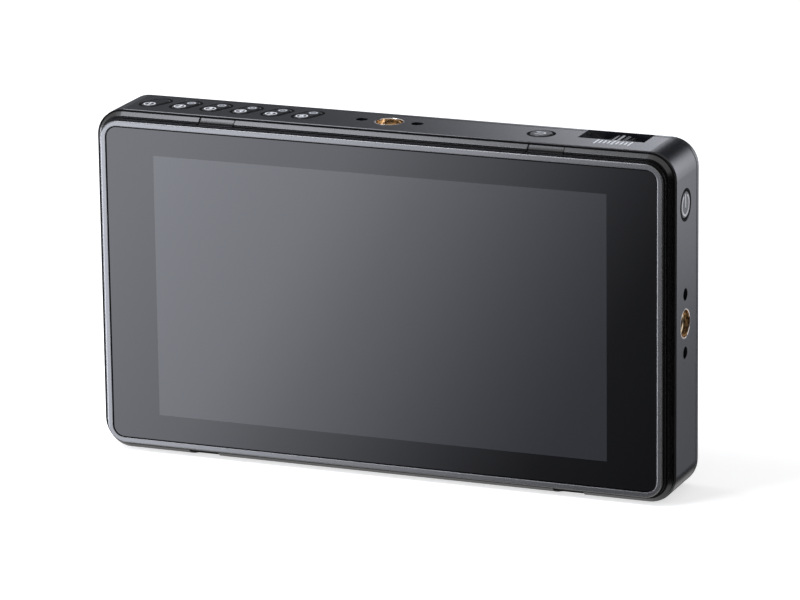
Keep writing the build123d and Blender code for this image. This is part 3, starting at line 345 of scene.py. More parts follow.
def rear_seam(tree):
    """1 in the fine gap round the housing where its rear shell meets its frame, otherwise 0."""
    sizes, _ = settings()
    low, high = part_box("main_housing")
    offset = {0: coordinates(tree)["Y"], 1: high.y - sizes.seam_from_back}
    across = add_node(tree, "Math", offset, operation="SUBTRACT")
    away = add_node(tree, "Math", {0: across}, operation="ABSOLUTE")
    near = add_node(tree, "Math", {0: away, 1: sizes.seam_gap / 2}, operation="LESS_THAN")
    inset = edge_distance(tree, low, high, sizes.corner_radius)
    # The gap shows on the housing's outside only, not on the walls within
    outside = add_node(tree, "Math", {0: inset, 1: 0.6 * MM}, operation="LESS_THAN")
    return add_node(tree, "Math", {0: near, 1: outside}, operation="MULTIPLY")


def edge_distance(tree, low, high, radius):
    """How far a point lies inside the body's rounded outline, seen from the front."""
    parts = coordinates(tree)
    sides, outer = [], []
    for axis in "xz":
        start, end = getattr(low, axis), getattr(high, axis)
        offset = {0: parts[axis.upper()], 1: (start + end) / 2}
        across = add_node(tree, "Math", offset, operation="SUBTRACT")
        away = add_node(tree, "Math", {0: across}, operation="ABSOLUTE")
        past = add_node(tree, "Math", {0: away, 1: (end - start) / 2 - radius}, operation="SUBTRACT")
        sides.append(past)
        outer.append(add_node(tree, "Math", {0: past, 1: 0.0}, operation="MAXIMUM"))
    corner = add_node(tree, "CombineXYZ", {"X": outer[0], "Y": outer[1]})
    reach = add_node(tree, "VectorMath", {0: corner}, operation="LENGTH")
    largest = add_node(tree, "Math", {0: sides[0], 1: sides[1]}, operation="MAXIMUM")
    inner = add_node(tree, "Math", {0: largest, 1: 0.0}, operation="MINIMUM")
    total = add_node(tree, "Math", {0: reach, 1: inner}, operation="ADD")
    return add_node(tree, "Math", {0: radius, 1: total}, operation="SUBTRACT")


def bezel_metal():
    """Black anodised aluminium with a fine blasted grain, milled bright on its rim and band; its groove is
    darkened with painted shade.
    """
    sizes, colours = settings()
    material, tree = new_material("Black anodised aluminium")
    # Fine blasting is about 0.05 mm; it is drawn at 0.25 mm to show at all
    blasting = grain(tree, 0.25 * MM)
    edge = add_node(tree, "Bevel", {"Radius": sizes.bezel_softness}, samples=6)
    relief = {"Height": blasting, "Distance": 0.0008 * MM, "Normal": edge}
    inset = edge_distance(tree, *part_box("main_housing"), sizes.corner_radius)
    across = add_node(tree, "MapRange", {"Value": inset, "From Min": 0, "From Max": sizes.bezel_width})
    # The groove's dark colour is painted shade, where the recess would be shaded between the band and the rim
    bands = (
        (0.0, colours.bezel),
        (sizes.groove_outside / sizes.bezel_width, colours.bezel_groove),
        (sizes.groove_inside / sizes.bezel_width, colours.bezel_rim),
    )
    drift = {"Value": blasting, "From Min": 0.3, "From Max": 0.7, "To Min": 0.24, "To Max": 0.3}
    body = {
        "Base Color": add_node(tree, "ValToRGB", {"Fac": across}, bands, "CONSTANT"),
        "Metallic": 1.0,
        "Roughness": add_node(tree, "MapRange", drift),
        "Normal": add_node(tree, "Bump", relief),
    }
    return surfaced(material, add_node(tree, "BsdfPrincipled", body))


def key_rubber():
    """Soft-touch coated key caps: darker and duller than the housing."""
    sizes, colours = settings()
    # The coating's grain, like the housing's, is drawn coarser than it is
    return moulded("Soft-touch rubber", colours.keys, 0.3, 0.25 * MM, 0.003 * MM, sizes.edge_softness / 2)


def dial_plastic():
    """Polished nylon dial: crisp ribs that catch the light."""
    sizes, colours = settings()
    # Polish leaves only a faint ripple, drawn as wide as it needs to show
    return moulded("Polished nylon", colours.dial, 0.16, 0.4 * MM, 0.001 * MM, sizes.edge_softness / 2)


def coated_glass(name, rgb, roughness, ior):
    """Mirror-smooth coated float glass, dark with what lies behind it."""
    material, tree = new_material(name)
    body = {"Base Color": rgba(rgb), "Roughness": roughness, "IOR": ior}
    return surfaced(material, add_node(tree, "BsdfPrincipled", body))


def turned_brass():
    """Free-cutting brass, turned bright: warm, mirror-like turns that darken in the bore."""
    _, colours = settings()
    return plated("Turned brass", colours.brass, 0.13, 0.4 * MM)


def printing_ink(name, rgb):
    """Screen-printed epoxy ink: flat, matt and slightly uneven."""
    return plain(name, rgb, 0.6, 0.3 * MM)


# ---------------------------------------------------------------- modelling helpers
def activate(piece):
    """Make one piece the only selected one, because an operator acts on all that is."""
    deselect_all()
    piece.select_set(True)
    bpy.context.view_layer.objects.active = piece


def deselect_all():
    """Leave edit mode with nothing selected."""
    if bpy.context.object and bpy.context.object.mode != "OBJECT":
        bpy.ops.object.mode_set(mode="OBJECT")
    bpy.ops.object.select_all(action="DESELECT")


def begin(kind, **place):
    """Add a primitive, such as a plane or a circle, as the only selected piece."""
    deselect_all()
    getattr(bpy.ops.mesh, f"primitive_{kind}_add")(**place)
    return bpy.context.object


def apply_place(piece):
    """Move a piece's place into its mesh, so that its object sits at the origin."""
    activate(piece)
    bpy.ops.object.transform_apply(location=True, rotation=True, scale=True)


def lay(piece, origin, turn=UPRIGHT):
    """Turn a piece that was drawn round the origin, and move it to its place."""
    piece.matrix_world = Matrix.Translation(origin) @ turn
    bpy.context.view_layer.update()
    apply_place(piece)


def apply_modifiers(piece):
    """Apply a piece's modifiers in their order."""
    activate(piece)
    for modifier in list(piece.modifiers):
        bpy.ops.object.modifier_apply(modifier=modifier.name)


def smooth(piece, degrees):
    """Shade a piece smooth across edges that are blunter than an angle."""
    activate(piece)
    bpy.ops.object.shade_smooth_by_angle(angle=radians(degrees))


def shape(piece):
    """Open a piece in edit mode with all of it selected."""
    activate(piece)
    bpy.ops.object.mode_set(mode="EDIT")
    choose_all()


def choose_all():
    """Select the whole of the mesh that is open in edit mode."""
    bpy.ops.mesh.select_all(action="SELECT")


def choose(piece, kind, test):
    """Select only the piece's faces, edges or vertices that pass a test, in edit mode."""
    mesh = bmesh.from_edit_mesh(piece.data)
    for part in (*mesh.faces, *mesh.edges, *mesh.verts):
        part.select_set(False)
    for part in getattr(mesh, kind):
        if test(part):
            part.select_set(True)
    mesh.select_flush(True)
    bmesh.update_edit_mesh(piece.data)


def close_shape():
    """Point the faces of the piece that is open outwards and leave edit mode."""
    choose_all()
    bpy.ops.mesh.remove_doubles(threshold=SAME_POINT)
    bpy.ops.mesh.normals_make_consistent(inside=False)
    bpy.ops.object.mode_set(mode="OBJECT")
    return bpy.context.object


def named(piece, name):
    """The piece, with its object and its mesh named."""
    piece.name = piece.data.name = name
    return piece


def join(pieces, name):
    """Join pieces into one and name it."""
    activate(pieces[0])
    for piece in pieces:
        piece.select_set(True)
    bpy.ops.object.join()
    return named(bpy.context.object, name)


def fit_piece(piece, body, material=None):
    """Finish a new piece: its material and the body it rides on."""
    if material is not None:
        piece.data.materials.clear()
        piece.data.materials.append(material)
    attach(piece, body)


def dress(nodes, material):
    """Give solids that stay as they are a finished material."""
    for name in nodes:
        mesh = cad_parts[name].data
        mesh.materials.clear()
        mesh.materials.append(material)


def face_of(node, axis):
    """The middle of the side of a solid's box that looks along an axis."""
    low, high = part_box(node)
    place = (low + high) / 2
    place[axis] = high[axis]
    return place


# ---------------------------------------------------------------- printed marks and key lips
def raise_print(height=None):
    """Give the flat shape that is open in edit mode a thickness, which is that of ink if none is given."""
    sizes, _ = settings()
    choose_all()
    bpy.ops.mesh.extrude_region_move(TRANSFORM_OT_translate={"value": (0, 0, height or sizes.ink_height)})
    return close_shape()


def printed_ring(radius, stroke, gap=0.0, gap_centre=90.0):
    """A printed ring on local z = 0, made from a disc; gap is its open part, in degrees."""
    ring = begin("circle", vertices=72, radius=radius + stroke / 2, fill_type="NGON")
    shape(ring)
    bpy.ops.mesh.inset(thickness=stroke)
    bpy.ops.mesh.delete(type="FACE")
    if gap:
        gap_line = Vector((cos(radians(gap_centre)), sin(radians(gap_centre)), 0))
        choose(ring, "faces", lambda face: face.calc_center_median().angle(gap_line) < radians(gap / 2))
        bpy.ops.mesh.delete(type="FACE")
    return raise_print()


def printed_bar(start, end, stroke, height=None):
    """A printed bar with rounded ends between two points on local z = 0."""
    start, end = Vector((*start, 0)), Vector((*end, 0))
    run = end - start
    bar = begin("plane", size=1)
    bar.scale = (run.length + stroke, stroke, 1)
    bar.rotation_euler.z = run.to_2d().angle_signed(Vector((1, 0)), 0)
    bar.location = (start + end) / 2
    apply_place(bar)
    shape(bar)
    bpy.ops.mesh.bevel(affect="VERTICES", offset=stroke * END_ROUNDING, segments=4)
    return raise_print(height)


def printed_arrowhead(place, size, turn):
    """A printed arrowhead on local z = 0 that points along turn, in degrees."""
    head = begin("circle", vertices=3, radius=size, fill_type="NGON")
    head.rotation_euler.z = radians(turn - 90)
    head.location = (*place, 0)
    apply_place(head)
    shape(head)
    bpy.ops.mesh.bevel(affect="VERTICES", offset=size * 0.12, segments=2)
    return raise_print()


def printed_number(text, height):
    """A digit on local z = 0, made bold by pushing its outline out."""
    sizes, _ = settings()
    deselect_all()
    bpy.ops.object.text_add(location=(0, 0, 0))
    digit = bpy.context.object.data
    digit.body = text
    digit.align_x = digit.align_y = "CENTER"
    # The font's digits stand 0.7 of its size high
    digit.size = height / 0.7
    digit.offset = 0.05 * height
    digit.extrude = sizes.ink_height / 2
    digit.resolution_u = 4
    bpy.ops.object.convert(target="MESH")
    shape(bpy.context.object)
    bpy.ops.transform.translate(value=(0, 0, sizes.ink_height / 2))
    return close_shape()


def add_lip(key, radius, material, axis=2, span=0.0, tilt=0.0):
    """A flat black ring round a key that paints the shadow of the gap round it: a ring drawn out to the key's
    length, then tilted.
    """
    sizes, _ = settings()
    outside = radius + sizes.key_clearance + sizes.surround_width
    shade_ring = begin("circle", vertices=64, radius=outside, fill_type="NGON")
    shape(shade_ring)
    for side in (-1, 1):
        choose(shade_ring, "verts", lambda vertex: vertex.co.y * side > SAME_POINT)
        bpy.ops.transform.translate(value=(0, side * span / 2, 0))
    choose_all()
    bpy.ops.mesh.inset(thickness=sizes.surround_width)
    bpy.ops.mesh.delete(type="FACE")
    named(raise_print(), f"{key}_surround")
    shade_ring.rotation_euler.z = -tilt
    apply_place(shade_ring)
    place = face_of(key, axis)
    place[axis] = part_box("main_housing")[1][axis] - sizes.ink_height / 2
    lay(shade_ring, place, FACING[axis])
    fit_piece(shade_ring, "monitor", material)


def print_on(key, axis, marks, name, ink, shift=(0, 0, 0)):
    """Join marks into one, sink it half its thickness into a key's face, and make it of ink."""
    sizes, _ = settings()
    mark = join(marks, name)
    place = face_of(key, axis) + Vector(shift)
    place[axis] -= sizes.ink_height / 2
    lay(mark, place, FACING[axis])
    fit_piece(mark, key, ink)


# ---------------------------------------------------------------- the pieces
class MONITOR_OT_housing(bpy.types.Operator):
    """Finish the moulded housing and the screws in its back"""

    bl_idname = "monitor.finish_housing"
    bl_label = "Housing"

    def execute(self, context):
        dress(["main_housing"], housing_plastic())
        # Blackened steel: dark, with a dull oily gloss
        dress(["case_screws"], plated("Blackened steel", linear("#3A3B3F"), 0.32, 0.5 * MM))
        return {"FINISHED"}


class MONITOR_OT_bezel(bpy.types.Operator):
    """Finish the stepped bezel, and model the clips in its top notches and the black strip behind it that
    paints the gap's shadow
    """

    bl_idname = "monitor.finish_bezel"
    bl_label = "Bezel"

    def execute(self, context):
        metal = bezel_metal()
        dress(["front_bezel"], metal)
        self.model_seal()
        for side, name in ((-1, "left_clip"), (1, "right_clip")):
            fit_piece(self.model_clip(side, name), "monitor", metal)
        return {"FINISHED"}

    def model_clip(self, side, name):
        """A clip in a top notch: a plate that carries the bezel's band on and sinks into its groove."""
        sizes, _ = settings()
        low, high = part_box("main_housing")
        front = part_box("front_bezel")[0].y
        # In millimetres, the depth from the bezel's front and the inset from the body's top, round the
        # clip's section: down the scoop on its outside, and back up its inside
        section = (
            (3.46, 0.30), (3.2, 0.56), (2.9, 0.86), (2.6, 1.14), (2.3, 1.38), (2.0, 1.59), (1.75, 1.76),
            (1.53, 1.90), (1.53, 1.95), (2.0, 1.87), (2.5, 1.70), (2.9, 1.45), (3.2, 1.12), (3.46, 0.5),
        )
        depth, inset = section[0]
        middle = side * ((high.x - low.x) / 2 - sizes.clip_side)
        start = middle - sizes.clip_width / 2 + sizes.clip_gap
        width = sizes.clip_width - sizes.clip_gap - sizes.clip_clearance
        clip = begin("plane", size=width)
        clip.location = (start + width / 2, front + depth * MM - width / 2, high.z - inset * MM)
        apply_place(clip)
        shape(clip)
        # Only the plane's rear edge stays, and is drawn round the section
        choose(clip, "verts", lambda vertex: vertex.co.y < front)
        bpy.ops.mesh.delete(type="VERT")
        choose_all()
        for before, after in zip(section, (*section[1:], section[0])):
            step = (0, (after[0] - before[0]) * MM, (before[1] - after[1]) * MM)
            bpy.ops.mesh.extrude_edges_move(TRANSFORM_OT_translate={"value": step})
        choose_all()
        bpy.ops.mesh.remove_doubles(threshold=SAME_POINT)
        choose_all()
        bpy.ops.mesh.fill_holes(sides=0)
        smooth(close_shape(), 30)
        return named(clip, name)

    def model_seal(self):
        """A black strip that fills the gap between the bezel and the housing: painted shadow, a dark piece
        where the gap has only shade.
        """
        sizes, _ = settings()
        low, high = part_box("main_housing")
        inset = sizes.seal_inset
        # It stays above the notches in the bottom edge
        bottom = low.z + sizes.seal_rise
        shadow_strip = begin("plane", size=1, rotation=(radians(90), 0, 0))
        shadow_strip.scale = (high.x - low.x - 2 * inset, high.z - inset - bottom, 1)
        shadow_strip.location = ((low.x + high.x) / 2, -sizes.seal_front, (high.z - inset + bottom) / 2)
        apply_place(shadow_strip)
        shape(shadow_strip)
        bpy.ops.mesh.bevel(affect="VERTICES", offset=sizes.corner_radius - inset, segments=16, profile=0.5)
        bpy.ops.mesh.inset(thickness=sizes.seal_width)
        bpy.ops.mesh.delete(type="FACE")
        choose_all()
        bpy.ops.mesh.extrude_region_move(TRANSFORM_OT_translate={"value": (0, sizes.seal_depth, 0)})
        named(close_shape(), "gap_seal")
        # Painted shadow: the strip is matt black so that the gap shows dark
        fit_piece(shadow_strip, "monitor", soft_black("Black foam rubber"))


class MONITOR_OT_screen(bpy.types.Operator):
    """Model the cover glass with its picture area and black border"""

    bl_idname = "monitor.model_screen"
    bl_label = "Screen"

    def execute(self, context):
        sizes, colours = settings()
        low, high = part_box("cover_glass")
        centre = (low + high) / 2
        glass = bpy.data.objects.new("glass_front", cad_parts["cover_glass"].data.copy())
        context.scene.collection.objects.link(glass)
        glass.data.materials.clear()
        # Deep black over the print; over the switched-off panel's polariser slightly lighter and bluer
        glass.data.materials.append(coated_glass("Coated glass over black print", colours.glass, 0.03, 1.5))
        glass.data.materials.append(coated_glass("Coated glass over polariser", colours.picture, 0.05, 1.55))
        shape(glass)
        bpy.ops.mesh.remove_doubles(threshold=0.001 * MM)
        half_width, half_height = sizes.picture_width / 2, sizes.picture_height / 2
        for across, half in ((Vector((1, 0, 0)), half_width), (Vector((0, 0, 1)), half_height)):
            for side in (-1, 1):
                choose_all()
                bpy.ops.mesh.bisect(plane_co=centre + across * side * half, plane_no=across)
        smooth(glass, 20)
        for face in glass.data.polygons:
            from_centre = face.center - centre
            inside = abs(from_centre.x) < half_width and abs(from_centre.z) < half_height
            face.material_index = 1 if inside and face.normal.y < -0.9 else 0
            # The big flat faces keep their own direction, so that no shade from the bevel runs into them
            if abs(face.normal.y) > 0.999:
                face.use_smooth = False
        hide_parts("cover_glass")
        fit_piece(glass, "monitor")
        return {"FINISHED"}


class MONITOR_OT_keys(bpy.types.Operator):
    """Finish the keys and print their marks"""

    bl_idname = "monitor.finish_keys"
    bl_label = "Keys"

    def execute(self, context):
        sizes, colours = settings()
        # Painted shadow: a matt black ring round each key stands in for the shade in the gap round it
        shade_ring = soft_black("Black silicone lip")
        ink = printing_ink("White epoxy ink", colours.ink)
        faint = printing_ink("Grey epoxy ink", colours.faint_ink)
        stem = "function_key_"
        function_keys = sorted(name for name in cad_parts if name.removeprefix(stem).isdigit())
        dress([*function_keys, "input_key", "power_key"], key_rubber())
        span, tilt = sizes.function_key_span, sizes.function_key_tilt
        for number, key in enumerate(function_keys, start=1):
            self.print_function_key(key, number, ink, faint)
            add_lip(key, sizes.function_key_radius, shade_ring, span=span, tilt=tilt)
        add_lip("input_key", sizes.input_key_radius, shade_ring)
        add_lip("power_key", sizes.power_key_radius, shade_ring, axis=0)
        self.print_return_arrow(ink)
        self.print_power_sign(ink)
        return {"FINISHED"}

    def print_function_key(self, key, number, ink, faint):
        """A number in a ring on the key's front end, and a small ring with a dot on its rear end."""
        sizes, _ = settings()
        tilt = sizes.function_key_tilt
        lobe = Vector((sin(tilt), cos(tilt), 0)) * sizes.function_key_span / 2
        digit = printed_number(str(number), sizes.number_height)
        circle = printed_ring(sizes.number_ring, sizes.fine_stroke)
        # The number stands a little beyond the middle of the key's end
        print_on(key, 2, [circle, digit], f"{key}_number", ink, -1.12 * lobe)
        # The first key has no second sign
        if number > 1:
            stroke = sizes.second_stroke
            ring = printed_ring(sizes.second_ring, stroke)
            dot = printed_bar((-0.3 * stroke, 0), (0.3 * stroke, 0), stroke)
            print_on(key, 2, [ring, dot], f"{key}_sign", faint, lobe)

    def print_return_arrow(self, ink):
        """The input key's sign: an arrow that turns back."""
        sizes, _ = settings()
        bend, stroke = sizes.arrow_bend, sizes.fine_stroke
        marks = [
            printed_ring(bend, stroke, gap=180, gap_centre=180),
            printed_bar((-0.9 * bend, bend), (0, bend), stroke),
            printed_bar((-1.3 * bend, -bend), (0, -bend), stroke),
            printed_arrowhead((-bend, bend), 0.75 * bend, 180),
        ]
        print_on("input_key", 2, marks, "input_key_sign", ink)

    def print_power_sign(self, ink):
        """The power key's sign: a broken ring with a bar in its gap."""
        sizes, _ = settings()
        radius, stroke = sizes.power_ring, sizes.mark_stroke
        ring = printed_ring(radius, stroke, gap=58)
        bar = printed_bar((0, -0.5 * MM), (0, radius - 0.1 * MM), stroke)
        print_on("power_key", 0, [ring, bar], "power_key_sign", ink)


class MONITOR_OT_dial(bpy.types.Operator):
    """Finish the menu dial and its carriage and print the scale in front of it"""

    bl_idname = "monitor.finish_dial"
    bl_label = "Menu dial"

    def execute(self, context):
        sizes, colours = settings()
        dress(["menu_dial"], dial_plastic())
        # Black acetal has a waxy gloss, ground steel shines and filled polyester is dull
        dress(["dial_carriage"], plain("Black acetal", linear("#2B2C2E"), 0.4))
        dress(["dial_axle"], plated("Ground steel", linear("#B4B6B9"), 0.2, 0.5 * MM))
        dress(["dial_encoder"], plain("Black polyester", linear("#1A1A1C"), 0.5))
        ticks = []
        for number in range(-4, 5):
            along = number * sizes.tick_pitch
            half = sizes.short_tick if number % 4 else sizes.long_tick
            ticks.append(printed_bar((along, -half), (along, half), sizes.tick_stroke))
        scale = join(ticks, "dial_scale")
        place = face_of("main_housing", 2) - Vector((0, 0, sizes.ink_height / 2))
        place.x = face_of("menu_dial", 2).x
        place.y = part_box("menu_dial")[0].y - sizes.scale_gap
        lay(scale, place)
        fit_piece(scale, "monitor", printing_ink("White epoxy ink", colours.ink))
        return {"FINISHED"}


class MONITOR_OT_mounts(bpy.types.Operator):
    """Model the brass bushes of the mounts with their real screw thread"""

    bl_idname = "monitor.model_mounts"
    bl_label = "Threaded mounts"

    def execute(self, context):
        _, colours = settings()
        low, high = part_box("top_mount_insert")
        depth = high.z - low.z
        pattern = join([self.bush(depth), self.thread_ridge()], "bush_pattern")
        smooth(pattern, 35)
        # Satin nickel on the brass: a pale, slightly warm ring
        self.plate_rim(pattern, turned_brass(), plated("Satin nickel", colours.nickel, 0.2, 0.4 * MM))
        turns = {
            "top_mount_insert": (Vector((0, 0, 1)), UPRIGHT),
            "side_mount_insert": (Vector((1, 0, 0)), Matrix.Rotation(radians(90), 4, "Y")),
            "bottom_mount_insert": (Vector((0, 0, -1)), Matrix.Rotation(radians(180), 4, "X")),
        }
        for node, (outwards, turn) in turns.items():
            low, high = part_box(node)
            activate(pattern)
            bpy.ops.object.duplicate()
            bush = named(bpy.context.object, node.replace("insert", "bush"))
            lay(bush, (low + high) / 2 + outwards * depth / 2, turn)
            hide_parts(node)
            fit_piece(bush, "monitor")
        bpy.data.objects.remove(pattern)
        return {"FINISHED"}

    def bush(self, depth):
        """A turned bush, its mouth at the origin and its body down local -Z, drawn out ring by ring."""
        sizes, _ = settings()
        flange, body, root, mouth = sizes.bush_flange, sizes.bush_body, sizes.thread_root, sizes.bush_mouth
        lead, chamfer, burr = sizes.bush_lead, sizes.bush_chamfer, 0.1 * MM
        outline = (
            (flange - 0.8 * burr, 0),
            (flange, -0.8 * burr),
            (flange, -1 * MM),
            (body, -1 * MM),
            (body, -depth + chamfer),
            (body - chamfer, -depth),
            (root - chamfer - burr, -depth),
            (root, -depth + chamfer + burr),
            (root, -lead - 0.25 * MM),
            (mouth, -lead),
            (mouth, -burr),
            (mouth + burr, 0),
        )
        last_radius, last_level = outline[-1]
        shape(begin("circle", vertices=64, radius=last_radius, fill_type="NOTHING"))
        for radius, level in outline:
            bpy.ops.mesh.extrude_edges_move(TRANSFORM_OT_translate={"value": (0, 0, level - last_level)})
            growth = radius / last_radius
            bpy.ops.transform.resize(value=(growth, growth, 1), center_override=(0, 0, level))
            last_radius, last_level = radius, level
        return close_shape()

    def plate_rim(self, pattern, brass, nickel):
        """Brass all over, with the flange's face in plating."""
        sizes, _ = settings()
        for material in (brass, nickel):
            pattern.data.materials.append(material)
        shape(pattern)

        def on_rim(face):
            # A facet's middle lies a little inside the circle that it belongs to
            centre = face.calc_center_median()
            return centre.z > -sizes.edge_softness and centre.xy.length > sizes.bush_mouth * 0.98

        choose(pattern, "faces", on_rim)
        pattern.active_material_index = 1
        bpy.ops.object.material_slot_assign()
        bpy.ops.object.mode_set(mode="OBJECT")

    def thread_ridge(self):
        """The thread's ridge: its section swept along a helix, with its ends closed."""
        sizes, _ = settings()
        pitch, crest, turns = sizes.thread_pitch, sizes.thread_crest, sizes.thread_turns
        # The foot of the ridge reaches into the bush's wall, so that no gap opens along it
        foot = sizes.thread_root + 0.1 * MM
        foot_width, crest_share, first_turn = 0.8 * pitch, 0.16, 0.6 * pitch
        section = begin("plane", size=1, rotation=(radians(90), 0, 0))
        section.scale = (foot - crest, foot_width, 1)
        section.location = ((foot + crest) / 2, 0, -sizes.bush_lead - first_turn)
        apply_place(section)
        shape(section)
        choose(section, "verts", lambda vertex: vertex.co.x < (sizes.thread_root + crest) / 2)
        bpy.ops.transform.resize(value=(1, 1, crest_share))
        choose_all()
        bpy.ops.mesh.delete(type="ONLY_FACE")
        bpy.ops.object.mode_set(mode="OBJECT")
        helix = section.modifiers.new("helix", "SCREW")
        helix.axis = "Z"
        helix.angle = turns * tau
        helix.screw_offset = -turns * pitch
        helix.steps = helix.render_steps = int(turns * THREAD_STEPS)
        apply_modifiers(section)
        shape(section)
        bpy.ops.mesh.fill_holes(sides=4)
        return close_shape()


class MONITOR_OT_sockets(bpy.types.Operator):
    """Finish the sockets on the left and lay the contact rows on their tongues"""

    bl_idname = "monitor.finish_sockets"
    bl_label = "Sockets"

    def execute(self, context):
        # Moulded polyamide and liquid-crystal polymer are black with a low, even gloss
        dress(["headphone_jack", "power_jack"], plain("Black moulded polyamide", linear("#141416"), 0.4))
        dress(["socket_tongues"], plain("Black liquid-crystal polymer", linear("#101012"), 0.45))
        # Gold on bronze: bright yellow, nearly a mirror
        gold = plated("Gold on bronze", linear("#E0B65C"), 0.18, 0.3 * MM)
        # In millimetres: pitch, width and length of the contacts, and half the tongue's thickness
        wide, narrow = (1.0, 0.5, 4.5, 0.6), (0.5, 0.28, 3.2, 0.35)
        rows = {
            "hdmi_input_socket": (10, wide),
            "hdmi_output_socket": (10, wide),
            "usb_c_socket": (12, narrow),
        }
        for node, (count, row_sizes) in rows.items():
            dress([node], socket_shell(node))
            contacts = self.contact_rows(node, count, *(size * MM for size in row_sizes))
            fit_piece(contacts, "monitor", gold)
        return {"FINISHED"}

    def contact_rows(self, node, count, pitch, width, reach, half):
        """One spring contact, repeated along the tongue and on its other side."""
        thickness = 0.04 * MM
        centre = face_of(node, 0)
        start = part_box("socket_tongues")[0].x + 0.3 * MM
        rows = []
        for side in (-1, 1):
            contact = printed_bar((start, 0), (start + reach, 0), width, thickness)
            row = contact.modifiers.new("row", "ARRAY")
            row.count = count
            row.use_relative_offset = False
            row.use_constant_offset = True
            row.constant_offset_displace = (0, pitch, 0)
            apply_modifiers(contact)
            # Local x stays along the tongue, local y runs up it and the face looks to either side
            turn = Matrix(((1, 0, 0), (0, 0, -side), (0, side, 0))).to_4x4()
            sideways = centre.y - side * (half - thickness / 2)
            lay(contact, Vector((0, sideways, centre.z - side * pitch * (count - 1) / 2)), turn)
            rows.append(contact)
        return join(rows, node.replace("socket", "contacts"))


class MONITOR_OT_battery_bay(bpy.types.Operator):
    """Finish the battery plate, its contacts and its latch"""

    bl_idname = "monitor.finish_battery_bay"
    bl_label = "Battery bay"

    def execute(self, context):
        sizes, colours = settings()
        edge = sizes.edge_softness
        # The plate's grain is coarser and duller than the latch's, which fingers polish
        plate = moulded("Eroded polycarbonate", colours.bay, 0.4, 0.35 * MM, 0.005 * MM, edge)
        latch = moulded("Satin acetal", colours.keys, 0.3, 0.3 * MM, 0.002 * MM, edge)
        dress(["battery_plate"], plate)
        dress(["battery_latch", "latch_guide"], latch)
        dress(["battery_contact_block"], plain("Black moulded polyamide", linear("#131315"), 0.45))
        dress(["battery_contacts"], plated("Gold on bronze", linear("#E0B65C"), 0.2, 0.3 * MM))
        # Drawn wire shines along its length
        dress(["latch_spring"], plated("Drawn spring steel", linear("#A5A7AA"), 0.25, 0.3 * MM))
        return {"FINISHED"}


class MONITOR_OT_inside(bpy.types.Operator):
    """Finish the pieces inside the housing"""

    bl_idname = "monitor.finish_inside"
    bl_label = "Inside"

    def execute(self, context):
        boards = ("main_board", "function_key_board", "input_key_board", "power_key_board", "dial_board")
        switches = ("function_key_switches", "input_key_switch", "power_key_switch", "dial_switch")
        finishes = (
            # Boards and what sits on them: satin green, dull black, soft blue-grey and cream
            (boards, plain("Solder mask on glass epoxy", linear("#12301F"), 0.35)),
            (["board_chips"], plain("Epoxy chip package", linear("#161617"), 0.5)),
            (["thermal_pads"], plain("Silicone pad", linear("#6F7F95"), 0.7)),
            (["display_connector"], plain("Cream nylon", linear("#D8D2BF"), 0.5)),
            (["display_flex"], plain("Polyimide film", linear("#8A5A1E"), 0.3)),
            # Metals: rolled sheet with a soft sheen, and brighter turned and stamped pieces
            (["heat_spreader"], plated("Sheet aluminium", linear("#B9BBBE"), 0.4, 1 * MM)),
            (["shield_can", "panel_tray"], plated("Nickel silver sheet", linear("#B5B1A8"), 0.35, 1 * MM)),
            (["board_standoffs"], plated("Turned brass", linear("#C6A35E"), 0.3, 0.5 * MM)),
            (
                ["board_screws", "tray_screws", "plate_screws"],
                plated("Zinc-plated steel", linear("#A8AAAD"), 0.3, 0.5 * MM),
            ),
            (switches, plated("Stamped stainless steel", linear("#B7B9BC"), 0.3, 0.5 * MM)),
            # The screen's layers: matt black tape, a smooth dark panel and a matt white light box
            (["glass_tape"], plain("Black foam tape", linear("#101011"), 0.8)),
            (["lcd_panel"], plain("Panel glass", linear("#15161A"), 0.15)),
            (["backlight_unit"], plain("White diffuser", linear("#D9DADB"), 0.5)),
        )
        for nodes, material in finishes:
            dress(nodes, material)
        return {"FINISHED"}


